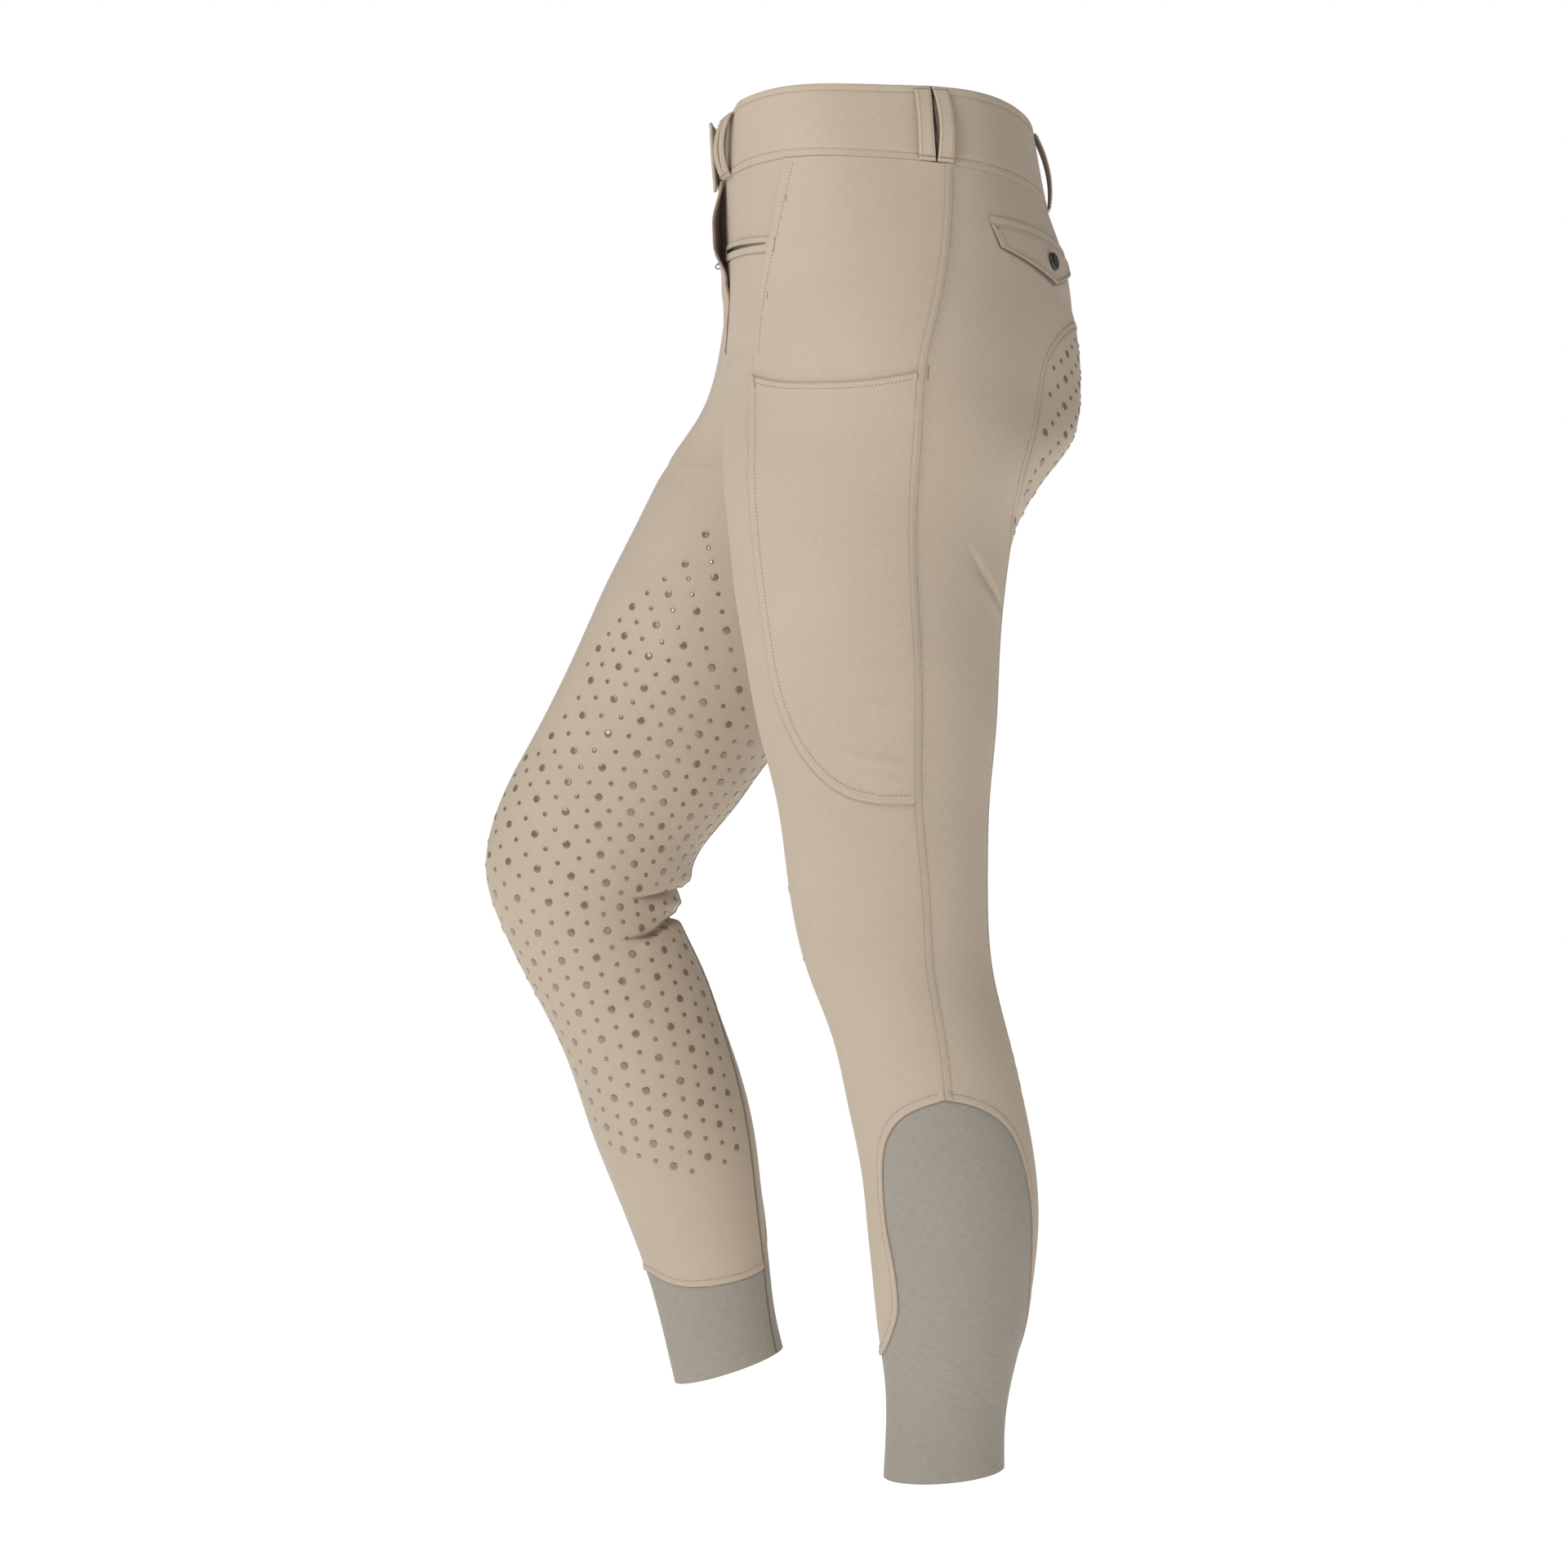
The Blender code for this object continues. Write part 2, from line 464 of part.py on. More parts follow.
def lay_out(side):
    """Cut one side into facets along its seams: points, facets and what each belongs to."""
    lines = cut_lines(side)
    down = np.linspace(BAND_HEIGHT, HEM_DOWN, round((HEM_DOWN - BAND_HEIGHT) / SEAM_STEP) + 1)
    for exact in (CROTCH_DOWN, CUFF_TOP[CUFF_SPLIT][0], WING_SEAM[0][0], FLY_EDGE[-1][0]):
        down[np.argmin(np.abs(down - exact))] = exact
    start, end, _, _ = centre_ends(side, down)
    front_line = np.column_stack([start * LAYOUT_RADIUS, down])
    back_line = np.column_stack([end * LAYOUT_RADIUS, down])
    lines["wing"][0] = back_line[np.argmin(np.abs(down - WING_SEAM[0][0]))]
    top = np.linspace(front_line[0], back_line[0], TOP_CELLS + 1)
    hem = np.linspace(front_line[-1], back_line[-1], HEM_CELLS + 1)
    places, edges = [], []

    def add_line(line):
        first = len(places)
        places.extend(line.tolist())
        edges.extend((i, i + 1) for i in range(first, len(places) - 1))

    for line in (front_line, back_line, top, hem, *lines.values()):
        add_line(line)
    fixed = np.array(places)
    low, high = fixed.min(axis=0), fixed.max(axis=0)
    for cell, fine in ((CELL, False), (FINE_CELL, True)):
        x = np.arange(low[0], high[0], cell)
        y = np.arange(low[1], high[1], cell * math.sqrt(3) / 2)
        grid = np.array([(px + (row % 2) * cell / 2, py) for row, py in enumerate(y) for px in x])
        in_window = ((grid[:, 1] > FINE_WINDOW[0]) & (grid[:, 1] < FINE_WINDOW[1])
                     & (grid[:, 0] > FINE_WINDOW[2]) & (grid[:, 0] < FINE_WINDOW[3]))
        grid = grid[in_window == fine]
        starts, ends, _, _ = centre_ends(side, grid[:, 1])
        held = (grid[:, 0] > starts * LAYOUT_RADIUS) & (grid[:, 0] < ends * LAYOUT_RADIUS)
        grid = grid[held]
        apart = np.min(np.linalg.norm(grid[:, None] - fixed[None], axis=2), axis=1)
        places.extend(grid[apart > CLEAR_OF_LINES * cell].tolist())

    result = delaunay_2d_cdt([Vector(p) for p in places], edges, [], 0, 1e-5)
    corners, _, faces, came_from, _, _ = result
    spots = np.array([places[ids[0]] if ids else tuple(c) for c, ids in zip(corners, came_from)])
    faces = np.array([f for f in faces if len(f) == 3])
    middles = spots[faces].mean(axis=1)
    starts, ends, _, _ = centre_ends(side, middles[:, 1])
    kept = (middles[:, 0] > starts * LAYOUT_RADIUS) & (middles[:, 0] < ends * LAYOUT_RADIUS)
    faces, middles = faces[kept], middles[kept]
    owner = regions(side, lines)(middles)

    count = len(down)
    lookup = {i: k for k, ids in enumerate(came_from) for i in ids}
    for i in range(count):
        if down[i] >= CROTCH_DOWN - 1e-9:
            faces[faces == lookup[count + i]] = lookup[i]
    points = form(side, spots[:, 0] / LAYOUT_RADIUS, spots[:, 1])
    if side == "L":
        faces = faces[:, ::-1]
    normals = np.zeros_like(points)
    for corner in range(3):
        a, b, c = (points[faces[:, (corner + k) % 3]] for k in range(3))
        np.add.at(normals, faces[:, corner], np.cross(b - a, c - a))
    normals /= np.maximum(np.linalg.norm(normals, axis=1), 1e-12)[:, None]
    return dict(side=side, spots=spots, points=points, normals=normals, faces=faces, owner=owner)


# ------------------------------------------------------------------ cloth walls

def wall(name, layout, faces, lift, thickness, material):
    """One piece of cloth: its facets moved out by lift, with an inner face below."""
    used, faces = np.unique(faces, return_inverse=True)
    faces = faces.reshape(-1, 3)
    normals = layout["normals"][used]
    spots = layout["spots"][used]
    points = layout["points"][used] + normals * lift(spots)[:, None]
    follows = {}
    for tri in faces:
        for a, b in zip(tri, np.roll(tri, -1)):
            follows[(int(a), int(b))] = True
    rim = [(a, b) for a, b in follows if (b, a) not in follows]
    inward = np.zeros_like(points)
    for a, b in rim:
        for corner in (a, b):
            across = np.cross(normals[corner], points[b] - points[a])
            inward[corner] += across / max(np.linalg.norm(across), 1e-12)
    size = np.sum(inward * inward, axis=1)
    mitred = inward * (GAP / np.maximum(size, SHARP_CORNER))[:, None]
    shift = np.where(size[:, None] > SHARP_CORNER, mitred, inward * GAP)
    outer = points + shift
    inner = outer - normals * thickness
    sign = 1 if layout["side"] == "L" else -1
    for skin in (outer, inner):
        skin[:, 0] = sign * np.maximum(sign * skin[:, 0], GAP / 2)
    count = len(used)
    solid = [tuple(int(i) for i in f) for f in faces]
    solid += [tuple(int(i) + count for i in f[::-1]) for f in faces]
    for a, b in rim:
        solid += [(b, a, a + count), (b, a + count, b + count)]
    return add_object(name, np.vstack([outer, inner]), solid, material)


def grid_wall(name, outer, inner, material, missing=()):
    """A closed wall between two grids of points, without its missing cells."""
    rows, columns = outer.shape[:2]
    count = rows * columns
    cells = [(i, j) for i in range(rows - 1) for j in range(columns - 1) if (i, j) not in missing]
    faces, follows = [], set()
    for i, j in cells:
        a = i * columns + j
        face = (a, a + 1, a + columns + 1, a + columns)
        faces.append(face)
        faces.append(tuple(k + count for k in face[::-1]))
        follows.update(zip(face, face[1:] + face[:1]))
    for a, b in sorted(follows):
        if (b, a) not in follows:
            faces.append((b, a, a + count, b + count))
    points = np.vstack([outer.reshape(-1, 3), inner.reshape(-1, 3)])
    return add_object(name, points, faces, material)


def even(height):
    """The same height all over."""
    return lambda spots: np.full(len(spots), height)


def pocket_lift(spots):
    """The pocket's mouth lies over the panel above it and drops to the front below."""
    foot = POCKET_MOUTH[2][0] + POCKET_OVERLAP
    share = smooth_step((spots[:, 1] - foot) / CELL)
    return GAP + PATCH + (PATCH + GAP) * (1 - share)


def flap_lift(spots):
    """The flap stands off a little more towards its tip."""
    share = np.clip((spots[:, 1] - FLAP_TOP[0][0]) / (FLAP_EDGE[2][0] - FLAP_TOP[0][0]), 0, 1)
    return GAP + PATCH + FLAP_LIFT * share


def fly_lift(spots):
    """The fly rises from its root, and its free edge gapes below the band."""
    root = (np.degrees(spots[:, 0] / LAYOUT_RADIUS) + 90) / FLY_SET_BACK
    reach = np.clip((root - 1) / FLY_RISE_TURNS, 0, 1)
    top, full, narrowing, low = FLY_MOUTH
    down = spots[:, 1]
    mouth = smooth_step((down - top) / (full - top)) * smooth_step((low - down) / (low - narrowing))
    shut = smooth_step((down - FLY_SHUT[0]) / (FLY_SHUT[1] - FLY_SHUT[0]))
    lift = FLY_LIFT + (FLY_LOW_LIFT - FLY_LIFT) * shut
    return lift * np.clip(root, 0, 1) + FLY_BULGE * reach * mouth


def make_zip_tape(material):
    """The zip's tape along the left front's edge, below the fly."""
    down = np.linspace(*TAPE_ENDS, TAPE_STEPS + 1)
    skins = []
    for lift in (GAP + TAPE, GAP):
        edges = []
        for bearing in TAPE_SIDES:
            angle = np.full(len(down), math.radians(bearing))
            edges.append(form("L", angle, down) + outward("L", angle, down) * lift)
        skins.append(np.stack(edges, axis=1))
    return grid_wall("fly_zip_tape", *skins, material)


def make_side(side, materials):
    """All flat-cut pieces of one side."""
    layout = lay_out(side)
    sand, taupe = materials["sand"], materials["taupe"]
    pieces = (
        ("front", "front_and_inner_leg", even(0.0), CLOTH, sand),
        ("back", "back", even(0.0), CLOTH, sand),
        ("calf_panel", "calf_panel", even(0.0), CLOTH, taupe),
        ("cuff", "inner_cuff", even(0.0), CLOTH, taupe),
        ("side_panel", "side_panel", even(GAP + PATCH), PATCH, sand),
        ("phone_pocket", "phone_pocket", pocket_lift, PATCH, sand),
        ("front_pocket_welt", "front_pocket_welt", even(GAP + PATCH), PATCH, sand),
        ("pocket_welt", "back_pocket_welt", even(GAP + PATCH), PATCH, sand),
        ("pocket_flap", "back_pocket_flap", flap_lift, PATCH, sand),
    )
    for key, name, lift, thickness, material in pieces:
        faces = layout["faces"][layout["owner"][key]]
        wall(f"{name}_{side}", layout, faces, lift, thickness, material)
    if side == "L":
        faces = layout["faces"][layout["owner"]["fly"]]
        wall("fly", layout, faces, fly_lift, PATCH + GAP, sand)
        make_zip_tape(materials["tape"])


# ------------------------------------------------------------------ waistband and trim

def band_place(turn, down, out):
    """Points on the band: turn in degrees from the centre front over the wearer's left."""
    turn = np.asarray(turn, float)
    down = np.broadcast_to(np.asarray(down, float), turn.shape)
    out = np.broadcast_to(np.asarray(out, float), turn.shape)
    turned = np.mod(turn, 360)
    bearing = np.radians(np.where(turned <= 180, turned - 90, 270 - turned))
    mirror = np.where(turned <= 180, 1, -1)
    points = smooth_form("L", bearing, down)
    along = smooth_form("L", bearing, down + NUDGE) - points
    points[:, 0] *= mirror
    along[:, 0] *= mirror
    around = np.radians(turn)
    half_width, half_depth = WIDTHS[0][2], CENTRE_BACK[0][1]
    away = np.column_stack([np.sin(around) / half_width, -np.cos(around) / half_depth, np.zeros(len(turn))])
    along /= np.linalg.norm(along, axis=1)[:, None]
    away -= np.sum(away * along, axis=1)[:, None] * along
    away /= np.linalg.norm(away, axis=1)[:, None]
    return points + away * out[:, None]


def band_lift(turns):
    """How far the band's outer face stands out; it rises to lap over its own start."""
    lap = smooth_step((turns - LAP_START) / (LAP_UP - LAP_START))
    end = smooth_step((turns - LAP_UP) / (LAP_END - LAP_UP))
    return BAND_PROUD + (LAP_RISE - BAND_PROUD) * lap + LAP_GAPE * end


def band_dip(turns):
    """How far the band's top edge lies lower across the front."""
    turned = np.mod(turns, 360)
    apart = np.minimum(turned, 360 - turned)
    return BAND_DIP * (1 - smooth_step((apart - DIP_TURNS[0]) / (DIP_TURNS[1] - DIP_TURNS[0])))


def make_waistband(material):
    """A folded band; its right end laps over its left end at the front and hangs a little."""
    turns = np.concatenate([np.arange(BAND_START, LAP_START - BAND_STEP / 2, BAND_STEP),
                            np.arange(LAP_START, LAP_END + LAP_STEP / 2, LAP_STEP)])
    lift = band_lift(turns)
    droop = LAP_DROOP * smooth_step((turns - DROOP_TURNS[0]) / (DROOP_TURNS[1] - DROOP_TURNS[0]))
    skins = []
    for depth in (0.0, BAND):
        edges = [band_place(turns, down, lift - depth)
                 for down in (band_dip(turns), BAND_HEIGHT - GAP + droop)]
        skins.append(np.stack(edges, axis=1))
    return grid_wall("waistband", *skins, material)


def make_loop(name, turns, lean, material):
    """A belt loop, single or double: straps held at the band's edges and bowed off it."""
    share = np.linspace(0, 1, LOOP_STEPS + 1)
    top = LOOP_TOP + band_dip(turns[0])
    down = top + (LOOP_FOOT - top) * share
    bow = np.sin(math.pi * share)
    double = len(turns) == 4
    apart = (0, -LOOP_PART / 2, LOOP_PART / 2, 0) if double else (0, 0)
    lines = [turn + lean * share + side_step * bow for turn, side_step in zip(turns, apart)]
    skins = []
    for height in (LOOP_WALL, 0.0):
        rise = BAND_PROUD + GAP + LOOP_RISE * bow ** LOOP_ROUND + height
        skins.append(np.stack([band_place(line, down, rise) for line in lines[::-1]], axis=1))
    missing = {(i, 1) for i in range(1, LOOP_STEPS - 1)} if double else ()
    return grid_wall(name, *skins, material, missing)


def make_button(side, material):
    """A small domed snap cap on the flap."""
    down, bearing = BUTTON_PLACE
    angle = np.array([math.radians(bearing)])
    spot = np.array([[angle[0] * LAYOUT_RADIUS, down]])
    seat = form(side, angle, np.array([down]))[0]
    normal = outward(side, angle, np.array([down]))[0]
    along = form(side, angle, np.array([down + NUDGE]))[0] - seat
    along /= np.linalg.norm(along)
    across = np.cross(normal, along)
    base = flap_lift(spot)[0] + BUTTON_CLEAR
    steps, rings = BUTTON_STEPS, BUTTON_RINGS
    points, faces = [], []
    for radius, height in rings:
        for k in range(steps):
            turn = 2 * math.pi * k / steps
            offset = (math.cos(turn) * along + math.sin(turn) * across) * BUTTON_RADIUS * radius
            points.append(seat + normal * (base + BUTTON_HEIGHT * height) + offset)
    for ring in range(len(rings) - 1):
        for k in range(steps):
            m = (k + 1) % steps
            a, b = ring * steps + k, ring * steps + m
            faces.append((a, b, b + steps, a + steps))
    faces.append(tuple(range(steps))[::-1])
    faces.append(tuple(range((len(rings) - 1) * steps, len(rings) * steps)))
    return add_object(f"snap_button_{side}", points, faces, material)


def build():
    """Build every piece."""
    clear_scene()
    materials = {
        "sand": finish("sand_cloth", SAND, 0.9),
        "taupe": finish("taupe_elastic", TAUPE, 0.85),
        "tape": finish("zip_tape", ROSE_BROWN, 0.9),
        "metal": finish("dark_metal", GUNMETAL, 0.35, 1.0),
    }
    for side in ("L", "R"):
        make_side(side, materials)
        make_button(side, materials["metal"])
        for name, turns, lean in LOOPS:
            if side == "R":
                turns, lean = tuple(360 - turn for turn in turns[::-1]), -lean
            make_loop(f"{name}_{side}", turns, lean, materials["sand"])
    make_loop(*LOOP_BACK, materials["sand"])
    make_waistband(materials["sand"])


build()
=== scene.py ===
import math

import bmesh
import bpy
import numpy as np
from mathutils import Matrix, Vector, kdtree
from mathutils.bvhtree import BVHTree
from mathutils.geometry import delaunay_2d_cdt


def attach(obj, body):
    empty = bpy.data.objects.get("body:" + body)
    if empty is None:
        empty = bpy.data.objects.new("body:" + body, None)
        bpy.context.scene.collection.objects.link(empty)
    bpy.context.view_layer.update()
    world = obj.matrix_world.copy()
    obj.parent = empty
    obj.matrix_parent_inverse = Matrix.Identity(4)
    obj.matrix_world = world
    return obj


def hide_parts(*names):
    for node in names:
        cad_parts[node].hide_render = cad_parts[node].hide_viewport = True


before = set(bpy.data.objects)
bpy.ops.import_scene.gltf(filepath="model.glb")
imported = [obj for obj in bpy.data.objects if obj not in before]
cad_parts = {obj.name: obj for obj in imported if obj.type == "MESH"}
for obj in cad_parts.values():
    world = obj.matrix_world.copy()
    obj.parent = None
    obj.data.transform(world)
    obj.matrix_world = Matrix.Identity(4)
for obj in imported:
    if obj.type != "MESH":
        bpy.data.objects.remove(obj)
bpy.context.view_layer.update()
bpy.ops.object.select_all(action="DESELECT")


# ==================================================================== the panels
# Breeches cut from a two-way stretch cloth in a warm sand colour, seamed flat and topstitched.
# A place on the cloth is given by its distance down the outside leg and its bearing around the
# section: -90 is the front, 0 the outer side, 90 the back, 180 the inner side.
GAP = 0.0003
CLOTH = 0.0016
PATCH = 0.0011
BAND_HEIGHT = 0.050
CROTCH_DOWN = 0.275
HEM_DOWN = 0.936
LAYOUT_RADIUS = 0.090
NUDGE = 0.002
CELL = 0.0036
SEAM_STEP = 0.0034
EDGE_IN = 0.00003
CENTRE_REST = 0.00002
SEAM_LIGHT = 0.72
SLIT_DEPTH = 0.0016
SLIT_REACH = 0.0034
SLIT_SOFT = 0.0010
SLIT_NARROWS = 0.5        # share of its reach that the slit loses by the hip panel
SLIT_FILLS = 0.8          # share of its depth that it loses there
SLIT_LIGHT = (-1.0, 1.0)  # light inside it, at its front end and at the hip panel
ALLOWANCE = 0.00075       # how far a seam's allowance stands up, out to its stitching
ALLOWANCE_PAST = 0.0006
ALLOWANCE_SOFT = 0.0016
STITCH_TROUGH = (0.00040, 0.0008)  # depth and reach of the dip under the stitching
EDGE_DIP = (0.00045, 0.0009)       # and of the roll at an edge
SEAM_RAMP = 0.0090
SEAM_STAND = 0.0006
# Shade beside an edge that stands up or hangs behind: piece, edge, light at the edge, how far it
# is full and felt.
SHADES = (
    ("front_and_inner_leg", "panel_edge", 0.50, 0.0016, 0.0036),
    ("front_and_inner_leg", "panel_foot", 0.55, 0.0004, 0.0020),
    ("phone_pocket", "side_seam", 0.60, 0.0002, 0.0010),
    ("side_panel", "side_seam", 0.60, 0.0002, 0.0010),
    ("side_panel", "mouth", 0.50, 0.0003, 0.0012),
    ("back", "flap_edge", -0.10, 0.0008, 0.0034),
    ("back", "back_welt", 0.50, 0.0002, 0.0014),
    ("back", "wing", 0.10, 0.0006, 0.0022),
    ("calf_panel", "cuff_back", 0.00, 0.0008, 0.0030),
    ("inner_cuff", "cuff_back", 0.10, 0.0004, 0.0016),
)
FLY_DARK = (0.106, 0.116)  # down to here the inner face of the fly lies in shade
FLY_GLOOM = 0.2

# The centre seams, in the plane between the legs: distance down, y, z.
CENTRE_FRONT = (
    (0.000, -0.1105, -0.002), (0.050, -0.1075, -0.0485), (0.100, -0.1052, -0.103),
    (0.150, -0.1050, -0.153), (0.185, -0.1030, -0.190), (0.215, -0.0930, -0.219),
    (0.240, -0.0700, -0.241), (0.260, -0.0410, -0.2525), (0.275, -0.0120, -0.255),
)
CENTRE_BACK = (
    (0.000, 0.1105, -0.008), (0.050, 0.1210, -0.0650), (0.090, 0.1320, -0.098),
    (0.130, 0.1385, -0.141), (0.170, 0.1350, -0.183), (0.205, 0.1180, -0.216),
    (0.235, 0.0820, -0.242), (0.257, 0.0380, -0.254), (0.275, -0.0120, -0.255),
)
# Sections of each leg: distance down, front y, front z, back y, back z.
SECTIONS = {
    "L": (
        (0.000, -0.1105, -0.002, 0.1105, -0.008), (0.050, -0.1075, -0.0485, 0.1210, -0.0650),
        (0.100, -0.1052, -0.102, 0.1350, -0.107), (0.150, -0.1058, -0.152, 0.1420, -0.158),
        (0.195, -0.1068, -0.197, 0.1405, -0.199), (0.235, -0.1066, -0.237, 0.1300, -0.238),
        (0.265, -0.1050, -0.267, 0.1095, -0.266), (0.290, -0.1025, -0.291, 0.0955, -0.290),
        (0.335, -0.0979, -0.335, 0.0850, -0.335), (0.380, -0.0907, -0.380, 0.0811, -0.380),
        (0.430, -0.0815, -0.430, 0.0788, -0.430), (0.479, -0.0691, -0.479, 0.0744, -0.479),
        (0.512, -0.0641, -0.512, 0.0733, -0.512), (0.550, -0.0590, -0.550, 0.0733, -0.548),
        (0.595, -0.0478, -0.596, 0.0765, -0.593), (0.634, -0.0325, -0.636, 0.0855, -0.632),
        (0.680, -0.0215, -0.682, 0.0970, -0.677), (0.734, -0.0109, -0.736, 0.1066, -0.731),
        (0.767, -0.0076, -0.769, 0.1082, -0.764), (0.800, -0.0042, -0.802, 0.1055, -0.797),
        (0.837, -0.0004, -0.839, 0.0994, -0.834), (0.875, 0.0043, -0.877, 0.0905, -0.871),
        (0.905, 0.0046, -0.907, 0.0860, -0.900), (0.936, 0.0030, -0.937, 0.0855, -0.930),
    ),
    "R": (
        (0.000, -0.1105, -0.002, 0.1105, -0.008), (0.050, -0.1075, -0.0485, 0.1210, -0.0650),
        (0.100, -0.1058, -0.099, 0.1350, -0.107), (0.150, -0.1100, -0.142, 0.1420, -0.158),
        (0.200, -0.1210, -0.182, 0.1380, -0.208), (0.240, -0.1370, -0.212, 0.1190, -0.253),
        (0.275, -0.1530, -0.238, 0.0900, -0.296), (0.320, -0.1720, -0.275, 0.0440, -0.344),
        (0.380, -0.1966, -0.3235, -0.0490, -0.4226), (0.450, -0.2267, -0.3897, -0.0965, -0.479),
        (0.490, -0.2510, -0.437, -0.1158, -0.5027), (0.520, -0.2676, -0.468, -0.1279, -0.5192),
        (0.553, -0.2820, -0.510, -0.1370, -0.5397), (0.575, -0.2827, -0.5403, -0.1436, -0.5523),
        (0.603, -0.2689, -0.5795, -0.1418, -0.568), (0.645, -0.2478, -0.6216, -0.1255, -0.6023),
        (0.686, -0.2267, -0.6637, -0.1123, -0.636), (0.735, -0.2085, -0.7160, -0.0972, -0.6788),
        (0.784, -0.1922, -0.7585, -0.0857, -0.7265), (0.832, -0.1728, -0.8070, -0.0796, -0.7785),
        (0.870, -0.1610, -0.8420, -0.0752, -0.8175), (0.903, -0.1530, -0.8730, -0.0711, -0.8535),
        (0.936, -0.1448, -0.9082, -0.0647, -0.8829),
    ),
}

# Reach of both legs to the side: distance down, inner x, outer x.
WIDTHS = (
    (0.000, 0.0000, 0.1350), (0.050, 0.0000, 0.1440), (0.100, 0.0000, 0.1570), (0.150, 0.0000, 0.1675),
    (0.200, 0.0000, 0.1730), (0.240, 0.0000, 0.1735), (0.275, 0.0004, 0.1720), (0.305, 0.0040, 0.1705),
    (0.340, 0.0100, 0.1680), (0.380, 0.0165, 0.1640), (0.430, 0.0240, 0.1570), (0.490, 0.0305, 0.1480),
    (0.520, 0.0320, 0.1460), (0.550, 0.0330, 0.1435), (0.600, 0.0340, 0.1410), (0.640, 0.0335, 0.1420),
    (0.690, 0.0320, 0.1440), (0.735, 0.0320, 0.1440), (0.780, 0.0345, 0.1415), (0.830, 0.0415, 0.1335),
    (0.870, 0.0465, 0.1275), (0.905, 0.0495, 0.1245), (0.936, 0.0495, 0.1245),
)
CENTRE_REACH = math.radians(95)   # how far around the pull of a centre seam is felt
INNER_FADE = 0.085                # how far below the crotch it is felt
CENTRE_STRETCH = 1.015            # the centre seams lie this much further out than their share
LEG_TURNS = (40, 90)              # bearings from the outer side over which the hip turns into the leg
LEG_DOWN = 0.195                  # from here down the whole section does
WAIST_FULL = 0.12                 # how much squarer than an oval the waist is at its corners
WAIST_FADE = 0.14                 # how far down that is felt

# Seams and edges: distance down, bearing.
SIDE_SEAM = (
    (0.050, 18), (0.100, 12), (0.150, 6.5), (0.200, 2.5), (0.235, 4), (0.275, 10), (0.340, 15.5),
    (0.410, 17), (0.480, 15.5), (0.545, 18), (0.620, 12), (0.677, 4.5),
)
PANEL_EDGE = (
    (0.050, -38), (0.090, -45.5), (0.125, -51), (0.190, -55), (0.270, -56), (0.360, -54.5),
    (0.405, -53.5), (0.430, -49), (0.450, -42), (0.467, -31), (0.477, -18), (0.481, -4),
)
WING_SEAM = (
    (0.141, 90), (0.143, 78), (0.149, 67), (0.158, 59), (0.172, 52), (0.190, 48.5), (0.211, 48),
    (0.230, 49), (0.251, 54), (0.278, 66), (0.298, 76), (0.324, 86), (0.370, 89), (0.450, 90),
    (0.600, 89), (0.670, 96), (0.715, 103.5), (0.745, 108), (0.765, 110.5), (0.800, 113),
    (0.838, 113.8), (0.873, 114.3),
)
CUFF_BACK = ((0.873, 114.3), (0.900, 115.5), (0.936, 118))
CUFF_FRONT = ((0.853, -88), (0.880, -90), (0.936, -92))
CALF_FRONT = (
    (0.677, 4.5), (0.681, -10), (0.687, -24), (0.697, -36), (0.710, -45), (0.726, -50.5),
    (0.745, -53), (0.765, -52), (0.785, -48.5), (0.805, -46.5), (0.818, -47), (0.829, -52),
    (0.842, -63), (0.850, -77), (0.853, -88),
)
CALF_BACK = (
    (0.677, 4.5), (0.682, 22), (0.690, 36), (0.701, 47), (0.715, 54), (0.733, 58.5), (0.752, 61.5),
    (0.776, 64), (0.800, 68), (0.826, 76), (0.841, 82.5), (0.852, 90), (0.864, 102), (0.873, 114.3),
)
CUFF_TOP = (
    (0.853, -88), (0.851, -104), (0.854, -120), (0.862, -140), (0.868, -160), (0.8715, -180),
    (0.8735, -202), (0.874, -225), (0.873, -245.7),
)
POCKET_MOUTH = ((0.1905, -55), (0.1990, -42), (0.2035, -26), (0.2032, -10), (0.1985, 2.6))
POCKET_OVERLAP = 0.014
FLY_EDGE = (
    (0.050, -76), (0.110, -76), (0.135, -77), (0.151, -80.5), (0.1585, -84.5), (0.1612, -88), (0.1615, -90),
)
FLY_SET_BACK = 3.5        # bearing by which the left front stays clear of the fly's root
FLY_CLEAR = ((BAND_HEIGHT, FLY_SET_BACK - 90), (0.1583, FLY_SET_BACK - 90), (0.1617, -90))
WELT_TOP = ((0.0980, -47.2), (0.0955, -56), (0.0925, -69), (0.0906, -81))
WELT_LOW = ((0.1080, -48.9), (0.1055, -57), (0.1027, -69), (0.1009, -81))
SLIT_TOP = ((0.1012, -49.1), (0.0986, -58), (0.0953, -70), (0.0936, -79.5))
SLIT_LOW = ((0.1024, -49.3), (0.1006, -58), (0.0980, -70), (0.0962, -79.5))
BACK_WELT = ((0.0855, 29.5), (0.0855, 45), (0.0870, 60), (0.0895, 79))
FLAP_TOP = ((0.0920, 29.5), (0.0918, 45), (0.0935, 60), (0.0960, 79))
FLAP_EDGE = ((0.0920, 29.5), (0.1078, 31.5), (0.1222, 56.5), (0.1082, 75), (0.0960, 79))
CUFF_SPLIT = 5            # row of CUFF_TOP that lies on the inner line
SEAM_AT_FOOT = 15.4       # bearing of the side seam at the pocket's foot

